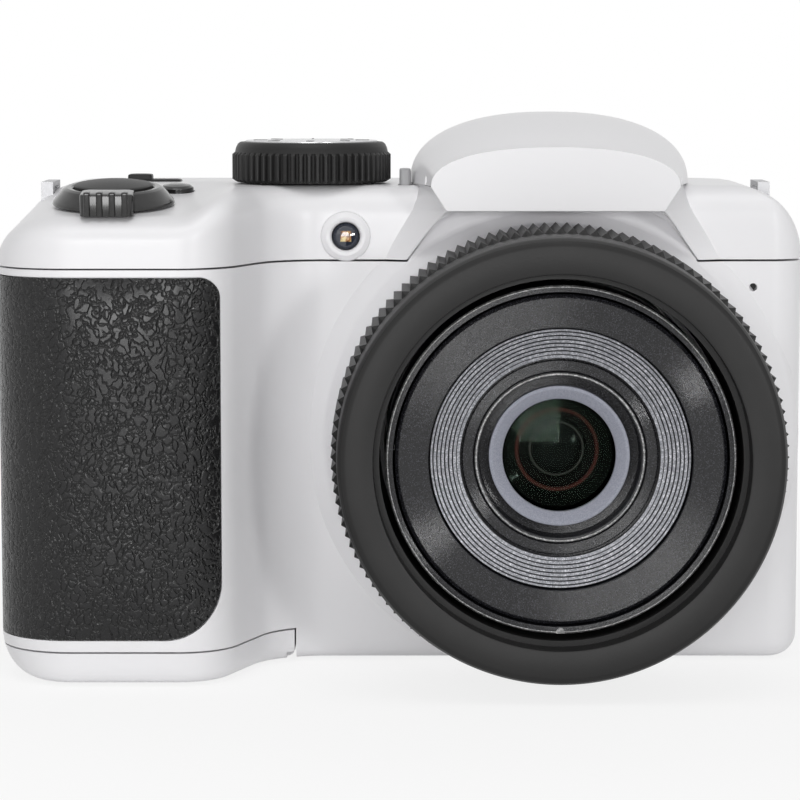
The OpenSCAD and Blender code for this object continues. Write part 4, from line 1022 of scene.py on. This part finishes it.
turned_finish = finish("turned_black", turned_black)
edge_finish = finish("bright_edge", bright_edge)
tube = lens_turned("outer_tube", [(23.6, -1), (24.6, -1), (24.6, 44.55), (24.3, 44.85), (23.6, 44.85)])
dress(tube, turned_finish, "outer_barrel", ["outer_barrel"])
trim_fillet = 0.06
rim_line = [(24.25, 44.4), (24.6, 44.4), (24.6, 44.7), (24.4, 44.95), (24.25, 44.95)]
dress(lens_turned("barrel_rim", rim_line, trim_fillet), edge_finish, "outer_barrel", [])
mark_foot_r = 24.55
mark_half = 0.62
mark_high = 0.85
mark_y = (-45.02, -44.7)
turn = np.linspace(0, np.pi, 17)
mark_line = np.stack([mark_half * np.cos(turn), lens_h - mark_foot_r + mark_high * np.sin(turn)], -1)
dress(prism("index_mark", mark_line, mark_y), edge_finish, "outer_barrel", [], 0.03)

# Inner zoom barrel: carries the front glass; a dished satin face, a step, a bright bead and a dark recess.
# Turned and lacquered; it slides out of the outer barrel on the cam ring's tracks.
barrel_line = [(22.1, 2), (23.3, 2), (23.3, 44.4), (22.8, 44.9), (18.6, 44.3), (18.6, 41), (13.8, 41),
               (13.8, 41.6), (12.3, 41.6), (12.15, 41.2), (11.5, 41.2), (11.4, 38), (9.55, 38), (9.55, 34.6),
               (8.45, 34.6), (8.45, 33.2), (22.1, 33.2)]
inner_tube = lens_turned("inner_tube", barrel_line, 0.15)
dress(inner_tube, turned_finish, "inner_barrel", ["inner_barrel"])
bead_line = [(11.65, 41.0), (12.05, 41.0), (12.05, 41.8), (11.95, 41.95), (11.75, 41.95), (11.65, 41.8)]
dress(lens_turned("bright_bead", bead_line, trim_fillet), edge_finish, "inner_barrel", [])

# Ribbed ring: grey sparkling trim with six fine grooves, sloping in towards the glass.
# Turned from aluminium, blasted and anodised, then glued into the barrel's step.
groove_pitch = 0.55
groove_at = 17.95 - groove_pitch * np.arange(6)
groove_half = 0.06
groove_deep = 0.3
ribbed_out = 18.3
ribbed_in = 14.15
ribbed_low = 42.0
ribbed_rise = 1.2
ribbed_back = 41.05


def blasted_grey(field):
    """Blasted and anodised metal: every grain tilts its own way, so some of them flash."""
    grain = flake(field, 7000.0)
    patch = flake(field, 3600.0)
    level = grain * 0.6 + patch * 0.4
    turn = (lens_radius(field) - 0.001 * groove_at[-1]) * (1000 / groove_pitch)
    groove = turn.maths("PINGPONG", turn, 0.5) * 2
    # The grooves are painted near black, as painted shade in the grooves; the lands carry the grain's tone.
    land = groove.ramp((0.0, 0.0), (0.2, 0.05), (0.36, 1.0))
    shade = level.ramp((0.1, (0.15, 0.155, 0.17)), (0.6, (0.27, 0.275, 0.30)), (0.95, (0.6, 0.605, 0.64)))
    return {
        "Base Color": land.mix((0.012, 0.012, 0.014), shade),
        "Roughness": level * 0.15 + 0.4,
        "Metallic": 0.4,
        "Bump": (level, 0.00002),
    }


ring_r = np.linspace(ribbed_out, ribbed_in, 250)
notch = np.clip(1.6 - np.abs(ring_r[:, None] - groove_at) / groove_half, 0, 1).max(1)
slope = (ring_r - ribbed_in) / (ribbed_out - ribbed_in)
ring_front = ribbed_low + ribbed_rise * slope - groove_deep * notch
ring_back = [(ribbed_in, ribbed_back), (ribbed_out, ribbed_back), (ribbed_out, ring_front[0])]
ribbed_line = np.concatenate([np.stack([ring_r, ring_front], -1), ring_back])
ribbed = shape("grooved_ring", on_lens(revolve(ribbed_line, 160)))
dress(ribbed, finish("blasted_grey", blasted_grey), "inner_barrel", ["ribbed_ring"], crease=60)

# Retainer: bluish grey ring with a fine matt coat that holds the front glass in its seat.
# Threaded into the barrel from the front; its face slopes in to the glass.


def matt_blue_grey(field):
    """Matt coat: even fine speckle, cooler than the trim round it."""
    speckle = flake(field, 11000.0)
    return {
        "Base Color": speckle.mix((0.22, 0.23, 0.275), (0.34, 0.35, 0.41)),
        "Roughness": speckle * 0.15 + 0.5,
        "Metallic": 0.2,
        "Bump": (speckle, 0.000015),
    }


retainer_line = [(8.05, 38.3), (8.35, 38.05), (10, 38.05), (10, 39.7), (9.5, 39.7), (8.05, 38.95)]
retainer = lens_turned("glass_retainer", retainer_line, 0.1)
dress(retainer, finish("matt_blue_grey", matt_blue_grey), "inner_barrel", ["lens_retainer"])

# Front lens: coated glass with a domed front, and behind it the blackened bore with the next element.
# Ground and coated glass, seated on the barrel's shoulder under the retainer.
zones_span = 0.0076


def coated_glass(field):
    """Coated glass: clear, with a weak green-tinged reflection and faint wipe marks in the gloss."""
    wipe = field.noise(field.place((1, 1, 6)), 120.0, 1.0)
    return {
        "Base Color": (0.93, 0.97, 0.93),
        "Roughness": wipe.ramp((0.6, 0.0), (0.9, 0.02)),
        "Transmission Weight": 1.0,
        "IOR": 1.1,
        "Specular Tint": (0.75, 1.0, 0.85),
    }


def inner_element(field):
    """Dark element: blackened edge and a dark middle, with a thin pale ring and a reddish ring painted on as
    reflections in the glass.
    """
    # The pale ring halfway out and the reddish ring near the edge are painted reflections.
    dark_zones_and_painted_reflections = (lens_radius(field) * (1 / zones_span)).ramp(
        (0.0, (0.002, 0.002, 0.002)), (0.26, (0.003, 0.0035, 0.0035)), (0.47, (0.002, 0.0022, 0.002)),
        (0.50, (0.045, 0.046, 0.045)), (0.53, (0.002, 0.0025, 0.002)), (0.70, (0.003, 0.002, 0.002)),
        (0.76, (0.05, 0.014, 0.012)), (0.80, (0.001, 0.0025, 0.0015)), (1.0, (0.001, 0.0015, 0.001)))
    wipe = field.noise(field.place(), 300.0, 1.0)
    return {
        "Base Color": dark_zones_and_painted_reflections,
        "Roughness": wipe * 0.06 + 0.03,
        "Specular IOR Level": 0.03,
        "Specular Tint": (0.8, 1.0, 0.9),
    }


glass_edge_r = 9.5
glass_front = 37.3
front_bow = 1.3
glass_back = 34.7
back_bow = 0.8
glass_r = np.linspace(0, glass_edge_r, 24)
bow = 1 - (glass_r / glass_edge_r) ** 2
dome = np.stack([glass_r, glass_front + front_bow * bow], -1)
hollow_back = np.stack([glass_r, glass_back + back_bow * bow], -1)[::-1]
glass = shape("front_glass", on_lens(revolve(np.concatenate([dome, hollow_back]), 128)))
dress(glass, finish("coated_glass", coated_glass), "inner_barrel", ["front_lens"], crease=60)
inside_edge_r = 4.4
inside_front = 30.6
inside_bow = 0.9
bore_line = [(7.9, 34.2), (7.9, 33.4), (6.6, 33.0), (6.5, 32.2), (5.4, 31.8), (5.3, 31.0),
             (inside_edge_r, inside_front)]
inside_r = np.linspace(inside_edge_r, 0, 14)
inside_dome = np.stack([inside_r, inside_front + inside_bow * (1 - (inside_r / inside_edge_r) ** 2)], -1)
sleeve_line = [(0, 29.8), (8.4, 29.8), (8.4, 34.2), (7.9, 34.2)]
inside_line = np.concatenate([bore_line, inside_dome, sleeve_line])
inside = shape("inner_glass", on_lens(revolve(inside_line, 128)))
dress(inside, finish("inner_element", inner_element), "inner_barrel", [], crease=40)

# Strap lugs: two pressed steel eyes that stand out of the shoulders, with a slot for a strap's ring.
# Shown as built, in a bead-blasted grey that shows against the white shoulders.


def blasted_steel(field):
    """Bead-blasted steel: even grey with a fine grain."""
    grain = field.noise(field.place(), 6000.0, 2.0)
    return {
        "Base Color": grain.mix((0.36, 0.36, 0.37), (0.44, 0.44, 0.45)),
        "Roughness": grain * 0.1 + 0.42,
        "Metallic": 1.0,
    }


coat_nodes(finish("blasted_steel", blasted_steel), "strap_lugs")

# Flash head under the lid: bright reflector, glass tube across it and a ribbed clear window in front.
# Pressed aluminium, a quartz tube on its leads and a moulded window; all three ride the lid.


def polished_reflector(field):
    """Bright reflector: fine drawing lines along X."""
    lines = field.noise(field.place((0.05, 1, 1)), 4000.0, 2.0)
    return {
        "Base Color": lines.mix((0.80, 0.80, 0.81), (0.90, 0.90, 0.91)),
        "Roughness": lines * 0.15 + 0.08,
        "Metallic": 1.0,
        "Bump": (lines, 0.000005),
    }


def flash_glass(field):
    """Clear moulding with upright ribs that spread the light."""
    across = field.node("SeparateXYZ", sockets={"Vector": field.place()}, out="X")
    ribs = across.maths("SINE", across * 6000.0)
    return {
        "Base Color": (0.93, 0.95, 0.97),
        "Roughness": ribs * 0.04 + 0.08,
        "Transmission Weight": 0.9,
        "IOR": 1.45,
        "Bump": (ribs, 0.00004),
    }


coat_nodes(finish("polished_reflector", polished_reflector), "flash_reflector")
flash_finish = finish("flash_glass", flash_glass)
coat_nodes(flash_finish, "flash_tube", "flash_window")

# Flash release: a small grey key beside the hump that frees the lid when it is pressed.
# Moulded with rounded edges and a crowned top, in a slot of the top cover.


def grey_moulding(field):
    """Grey moulding: fine grain and a faint wear shade."""
    grain = field.noise(field.place(), 4200.0, 2.0)
    wear = field.noise(field.place(), 260.0, 4.0)
    return {
        "Base Color": wear.mix((0.30, 0.30, 0.31), (0.40, 0.40, 0.41)),
        "Roughness": grain * 0.15 + 0.32,
        "Bump": (grain, 0.00001),
    }


def crowned_key(name, low, high, radius, base, top, crown):
    """Key with a rounded outline whose edge rises from its base and whose top swells to a crown."""
    middle = (np.array(low) + high) / 2
    outline = rounded_rectangle(np.array(low, float), np.array(high, float), radius)
    loop = np.concatenate([outline, outline[:1]]) - middle
    share = np.array([0, 1, 1, 0.97, 0.9, 0.75, 0.5, 0.25, 0])
    swell = top + crown * np.array([0.4, 0.75, 0.93, 1])
    height = np.array([base, base, top - 0.3, top - 0.08, top, *swell])
    x, y = np.moveaxis(share[:, None, None] * loop + middle, -1, 0)
    return shape(name, np.stack([x, y, np.broadcast_to(height[:, None], x.shape)], -1))


grey_finish = finish("grey_moulding", grey_moulding)
release = crowned_key("release_key", (-22.65, -11.6), (-20.95, -7.6), radius=0.5, base=67.8, top=73.35,
                      crown=0.12)
dress(release, grey_finish, "flash_button", ["flash_button"])

# Mode dial: black wheel with sixty ribs, a polished bevel and a light disc with plain numbers on top.
# Moulded on a shaft that turns in the top cover; the disc is a stamped plate pressed into the wheel.
dial_ribs = 60
rib_r = 11.75
rib_h = 0.27


def ribs(profile, angle):
    """Flat-topped ribs with narrow grooves between them on the rows at the rib radius."""
    wave = np.cos(angle * dial_ribs)
    return np.where(profile[:, :1] == rib_r, rib_h * np.clip(wave * 2.2 + 0.5, -1, 1), 0)


dial_line = np.array([(0, 66), (2.5, 66), (2.5, 67.7), (4.5, 67.7), (4.5, 68.7), (2.5, 68.7), (2.5, 71.25),
                      (11.3, 71.25), (rib_r, 71.7), (rib_r, 75.4), (11.6, 75.75), (11.45, 76.4),
                      (11.15, 77.0), (10.8, 77.25), (10.2, 77.3), (10.1, 77.2), (0, 77.2)])
wheel = shape("dial_wheel", revolve(dial_line, 480, ribs) + dial_at)
dress(wheel, satin_finish, "mode_dial", ["mode_dial"], crease=28)


def spun_silver(field):
    """Spun plate: fine rings about the dial's middle."""
    place = field.place((1, 1, 0), dial_at / 1000)
    radius = field.node("VectorMath", {"operation": "LENGTH"}, {0: place}, out="Value") * 30000.0
    spun = radius.maths("SINE", radius)
    return {
        "Base Color": spun.mix((0.60, 0.60, 0.61), (0.68, 0.68, 0.69)),
        "Roughness": spun * 0.05 + 0.3,
        "Metallic": 0.6,
        "Bump": (spun, 0.000002),
    }


disc_line = soft_line([(0, 77.2), (10, 77.2), (10, 77.5), (0, 77.5)], 0.1)
dress(shape("dial_disc", revolve(disc_line, 128) + dial_at), finish("spun_silver", spun_silver), "mode_dial",
      ["dial_cap"])


def figure(text, size, place, turn):
    """Mesh of a raised figure, centred on a place in millimetres and turned about Z."""
    words = bpy.data.curves.new("figure", "FONT")
    words.body = text
    words.size = size / 1000
    words.align_x = "CENTER"
    words.align_y = "CENTER"
    words.extrude = 0.00005
    raised = bpy.data.objects.new("figure", words)
    bpy.context.collection.objects.link(raised)
    mesh = bpy.data.meshes.new_from_object(raised.evaluated_get(bpy.context.evaluated_depsgraph_get()))
    bpy.data.objects.remove(raised)
    across = np.array([np.cos(turn), np.sin(turn), 0])
    up = np.array([-np.sin(turn), np.cos(turn), 0])
    move_points(mesh, lambda at: at @ np.stack([across, up, (0, 0, 1)]) + place)
    made = bpy.data.objects.new("figure", mesh)
    bpy.context.collection.objects.link(made)
    return made


figure_size = 3.0
figure_ring = 7.6
figure_h = 77.52
turns = np.arange(8) * np.pi / 4
numbers = []
for count, t in enumerate(turns):
    place = dial_at + [figure_ring * np.sin(t), figure_ring * np.cos(t), figure_h]
    numbers.append(figure(str(count + 1), figure_size, place, -t))
dress(join("dial_numbers", *numbers), satin_finish, "mode_dial", [])

# Zoom lever: black cone round the shutter button with a ribbed thumb tab that points forwards.
# Moulded with its hub, which turns in the deck against a return spring.


def gloss_black(field):
    """Polished black moulding with faint swirls from handling."""
    swirl = field.noise(field.place(), 900.0, 5.0)
    return {
        "Base Color": swirl.mix((0.006, 0.006, 0.006), (0.012, 0.0115, 0.0115)),
        "Roughness": swirl * 0.14 + 0.12,
        "Coat Weight": swirl * 0.3,
        "Bump": (swirl, 0.000004),
    }


def on_deck(grid, at):
    """Stands a grid on the sloping deck at a place of X and Y."""
    x, y, z = np.moveaxis(grid, -1, 0)
    base = deck_h + at[1] * np.tan(deck_slope)
    along = y * np.cos(deck_slope) - z * np.sin(deck_slope)
    up = y * np.sin(deck_slope) + z * np.cos(deck_slope)
    return np.stack([x + at[0], along + at[1], up + base], -1)


def tilt(piece, at):
    """Stands a finished mesh on the sloping deck."""
    move_points(piece.data, lambda places: on_deck(places, at))
    return piece


gloss_finish = finish("gloss_black", gloss_black)
lever_rib_x = (-2.7, -0.9, 0.9, 2.7)
lever_rib_half = 0.45
cone_line = soft_line([(5.9, -2.8), (6.9, -2.8), (6.9, 0.25), (8.95, 0.25), (8.8, 0.75), (7.3, 2.5),
                       (6.8, 2.75), (6.2, 2.75), (5.9, 2.5)], 0.15, True, 3)
cone = shape("lever_cone", on_deck(revolve(cone_line, 96), shutter_at))
tab = crowned_key("lever_tab", (-3.8, -12.2), (3.8, -7.0), radius=1.0, base=0.25, top=3.4, crown=0.15)
tilt(tab, shutter_at)
grips = []
for x in lever_rib_x:
    rib = crowned_key("lever_rib", (x - lever_rib_half, -12.6), (x + lever_rib_half, -10.9), radius=0.25,
                      base=0.3, top=3.75, crown=0.08)
    grips.append(tilt(rib, shutter_at))
dress(join("lever_moulding", cone, tab, *grips), gloss_finish, "zoom_lever", ["zoom_lever"])

# Shutter button and drive button: domed black keys on stems above their switches.
# The shutter button moves inside the lever; the drive button has a collar that stops it in the deck.
shutter_dome_r = 5.55
shutter_edge_h = 3.08
shutter_bow = 0.62
dome_r = np.linspace(shutter_dome_r, 0, 16)
shutter_top = np.stack([dome_r, shutter_edge_h + shutter_bow * (1 - (dome_r / shutter_dome_r) ** 2)], -1)
shutter_line = np.concatenate([[(0, -4.2), (1.8, -4.2), (1.8, -1.2), (5.7, -1.2), (5.7, 2.95)], shutter_top])
shutter_key = shape("shutter_key", on_deck(revolve(shutter_line, 96), shutter_at))
dress(shutter_key, satin_finish, "shutter_button", ["shutter_button"])
drive_line = soft_line([(0, -4), (1.2, -4), (1.2, -3.2), (3.3, -3.2), (3.3, -2.4), (2.5, -2.4), (2.5, 0.6),
                        (2.0, 0.95), (1.0, 1.15), (0, 1.2)], 0.12)
drive_key = shape("drive_key", on_deck(revolve(drive_line, 64), drive_at))
dress(drive_key, gloss_finish, "drive_button", ["drive_button"])

# Power switch: a black slide with a raised knob at one end of a thin plate that covers its slot.
# Moulded in one piece with the stem that reaches the switch on the board below.
knob = crowned_key("switch_knob", (-64.4, 1.3), (-60.7, 4.7), radius=0.4, base=71.25, top=72.1, crown=0.1)
plate = crowned_key("switch_plate", (-64.6, 1.1), (-56.2, 4.9), radius=0.6, base=71.06, top=71.36, crown=0.04)
stem = box_form("switch_stem", (-63.15, 2.2, 66.3), (-61.35, 3.8, 71.3))
slide = join("switch_slide", knob, plate, stem)
dress(slide, satin_finish, "power_switch", ["power_switch"])

# Focus lamp: a white bezel pressed into the front of the top cover, with a clear dome over an amber chip.
# The dome is moulded acrylic; the chip behind it shows as an amber square, mottled with painted glints.


def lamp_dome(field):
    """Acrylic dome: dark round the rim, with an amber square chip mottled with bright yellow spots, which are
    painted glints.
    """
    place = field.place((1, 0, 1), lamp_at / 1000)
    parts = [field.node("SeparateXYZ", sockets={"Vector": place}, out=axis) for axis in "XZ"]
    reach = [part.maths("ABSOLUTE", part) for part in parts]
    square = (reach[0].maths("MAXIMUM", *reach) * 1000.0).ramp((0.70, 1.0), (0.85, 0.0))
    # The pads noise paints the chip amber with brighter yellow spots: these spots are painted glints in the
    # dome.
    pads = field.noise(place, 1100.0, 3.0).ramp((0.42, (0.10, 0.04, 0.015)), (0.52, (0.45, 0.20, 0.06)),
                                                (0.62, (0.85, 0.70, 0.35)))
    return {
        "Base Color": square.mix((0.02, 0.025, 0.04), pads),
        "Roughness": 0.05 + square * 0.15,
        "Coat Weight": square * 0.2 + 0.8,
    }


def lamp_turned(name, points, fillet):
    """Ring or dome turned about the lamp's axis from a line of radius and forward distance, which is
    closed unless it starts on the axis."""
    grid = revolve(soft_line(points, fillet, points[0][0] > 0, 4), 64)
    return shape(name, np.stack([grid[..., 0], -grid[..., 2], grid[..., 1]], -1) + lamp_at)


bezel_line = [(2.1, -2.5), (2.8, -2.5), (2.8, 0.0), (3.8, 0.05), (3.55, 0.6), (2.85, 1.1), (2.35, 1.0),
              (2.1, 0.6)]
lamp_line = [(0, -2.2), (2, -2.2), (2, 0.1), (1.4, 0.5), (0.7, 0.7), (0, 0.75)]
bezel = lamp_turned("lamp_bezel", bezel_line, 0.25)
dress(bezel, white_finish, "camera_body", ["af_lamp_bezel"])
lamp_lens = lamp_turned("lamp_lens", lamp_line, 0.4)
dress(lamp_lens, finish("lamp_dome", lamp_dome), "camera_body", ["af_lamp_lens"])

# Buttons on the back: four round keys, a rocking four-way pad and the confirm key in its middle.
# Moulded black keys held by their flanges behind the rear cover.


def on_back(profile, at, steps=64):
    """Turned key that faces the back, from a line of radius and Y."""
    grid = revolve(np.array(profile, float), steps)
    return np.stack([grid[..., 0] + at[0], grid[..., 2], grid[..., 1] + at[1]], -1)


key_line = soft_line([(0, 18.8), (3.5, 18.8), (3.5, 19.7), (rear_r, 19.7), (rear_r, 22.6), (1.9, 22.5),
                      (0, 22.35)], 0.25)
for key, at in rear_buttons.items():
    dress(shape(key + "_cap", on_back(key_line, at)), satin_finish, key, [key])
pivot_y = 18.75
pivot_r = 0.45
pivot_reach = 12.1
arrow_y = (22.5, 22.82)
pad_line = soft_line([(4.8, 18.3), (11.4, 18.3), (11.4, 19.2), (pad_r, 19.2), (pad_r, 22.4), (8.5, 22.8),
                      (5.6, 22.2), (4.8, 22.3)], 0.35, True)
pivots = bore("pad_pivots", (pivot_y, pad_at[1]), pivot_r, pad_at[0] - pivot_reach,
              pad_at[0] + pivot_reach, "x", 16)
arrows = []
for t in np.arange(4) * np.pi / 2:
    tip = np.array([(-1.0, 8.0), (1.0, 8.0), (0, 9.3)]) @ [[np.cos(t), np.sin(t)], [-np.sin(t), np.cos(t)]]
    arrows.append(prism("pad_arrow", tip + pad_at, arrow_y))
rocker = join("pad_rocker", shape("pad_ring", on_back(pad_line, pad_at, 96)), pivots)
dress(rocker, satin_finish, "four_way_pad", ["four_way_pad"])
dress(join("pad_arrows", *arrows), grey_finish, "four_way_pad", [])
confirm_line = soft_line([(0, 16.8), (5.8, 16.8), (5.8, 17.7), (4.6, 17.7), (4.6, 22.7), (3.6, 22.75),
                          (0, 22.4)], 0.3)
confirm_key = shape("confirm_key", on_back(confirm_line, pad_at))
dress(confirm_key, gloss_finish, "ok_button", ["ok_button"])

# Screen: a black-backed glass panel in the rear cover's window.
# Cut glass with ground edges, glued on its rim over the display.
display_at = (-0.001, 0, 0.032)
display_half_w = 0.0296
display_half_h = 0.0224


def screen_panel(field):
    """Dark glass: black border, a slightly paler display area and faint wipe marks."""
    wipe = field.noise(field.place((1, 1, 0.2)), 260.0, 4.0)
    display = field.place((1 / display_half_w, 1, 1 / display_half_h), display_at)
    across, up = [field.node("SeparateXYZ", sockets={"Vector": display}, out=k) for k in (0, 2)]
    reach = across.maths("MAXIMUM", across.maths("ABSOLUTE", across), up.maths("ABSOLUTE", up))
    return {
        "Base Color": reach.ramp((0.985, (0.014, 0.015, 0.019)), (1.0, (0.002, 0.002, 0.002))),
        "Roughness": wipe.ramp((0.4, 0.03), (0.8, 0.12)),
        "Specular IOR Level": 0.36,
        "Coat Weight": wipe * 0.2,
    }


screen_y = (20.8, 22.0)
ground_edge = 0.25
screen_line = rounded_rectangle(screen_low, screen_high, screen_r)
dress(prism("screen_panel", screen_line, screen_y), finish("screen_panel", screen_panel), "camera_body",
      ["screen_glass"], ground_edge)

# Studio: a pale floor, four soft lamps and a white world, seen by a camera as the photograph was taken.
# The camera stands under half a metre in front, a little above the deck, and looks down a few degrees.
eye = (-0.02257, -0.466, 0.08883)
look_down = np.radians(6.30)
focal_px = 3035
frame_px = 800
sensor_mm = 36
camera_data = bpy.data.cameras.new("photo_camera")
camera_data.sensor_width = sensor_mm
camera_data.lens = sensor_mm * focal_px / frame_px
camera = bpy.data.objects.new("photo_camera", camera_data)
camera.location = eye
camera.rotation_euler = (np.pi / 2 - look_down, 0, 0)
bpy.context.collection.objects.link(camera)
bpy.context.scene.camera = camera


def seen_white(field):
    """One for camera, glossy and transmission rays, which see plain white, and nought for the rest."""
    kinds = ("Is Camera Ray", "Is Glossy Ray", "Is Transmission Ray")
    rays = [field.node("LightPath", out=kind) for kind in kinds]
    return rays[0].maths("MAXIMUM", rays[0], rays[1].maths("MAXIMUM", rays[1], rays[2]))


def pale_floor():
    """Diffuse floor that turns to plain white for the camera, wholly so away from the object."""
    material = bpy.data.materials.new("pale_floor")
    material.use_nodes = True
    tree = material.node_tree
    surface = tree.nodes["Principled BSDF"]
    surface.inputs["Base Color"].default_value = (0.9, 0.9, 0.9, 1)
    surface.inputs["Roughness"].default_value = 0.8
    field = Field(tree)
    white = field.node("Emission", sockets={"Color": (1, 1, 1, 1), "Strength": 1.0})
    reach = field.node("VectorMath", {"operation": "LENGTH"}, {0: field.place()}, out="Value")
    share = seen_white(field) * (reach * 2.5).ramp((0.2, 0.82), (0.6, 1.0))
    shade = field.node("MixShader", sockets={0: share, 1: Field(tree, surface.outputs[0]), 2: white})
    tree.links.new(shade.socket, tree.nodes["Material Output"].inputs["Surface"])
    return material


floor_half = 4000.0
floor_z = -0.3
spread = floor_half * np.array([[(-1, -1), (1, -1)], [(-1, 1), (1, 1)]])
floor = shape("floor", np.concatenate([spread, np.full((2, 2, 1), floor_z)], -1))
floor.data.materials.append(pale_floor())

world = bpy.data.worlds.new("studio")
world.use_nodes = True
bpy.context.scene.world = world
background = world.node_tree.nodes["Background"]
background.inputs["Color"].default_value = (1, 1, 1, 1)
dim = 0.38
strength = seen_white(Field(world.node_tree)) * (1 - dim) + dim
world.node_tree.links.new(strength.socket, background.inputs["Strength"])
bpy.context.scene.view_settings.view_transform = "Standard"
aim = Vector((-0.02, 0, 0.04))


def soft_lamp(name, place, size, watts):
    """A rectangular area lamp at a place in metres, turned to look at the object."""
    data = bpy.data.lights.new(name, "AREA")
    data.shape = "RECTANGLE"
    data.size, data.size_y = size
    data.energy = watts
    lamp = bpy.data.objects.new(name, data)
    lamp.location = place
    lamp.rotation_euler = (aim - Vector(place)).to_track_quat("-Z", "Y").to_euler()
    bpy.context.collection.objects.link(lamp)


soft_lamp("front", (-0.1, -0.85, 0.115), (0.3, 0.2), 1.9)
soft_lamp("right", (0.5, -0.95, 0.16), (0.12, 0.12), 2.0)
soft_lamp("left", (-0.6, -0.7, 0.35), (0.4, 0.4), 0.3)
soft_lamp("top", (-0.05, -0.25, 0.85), (0.5, 0.5), 1.7)
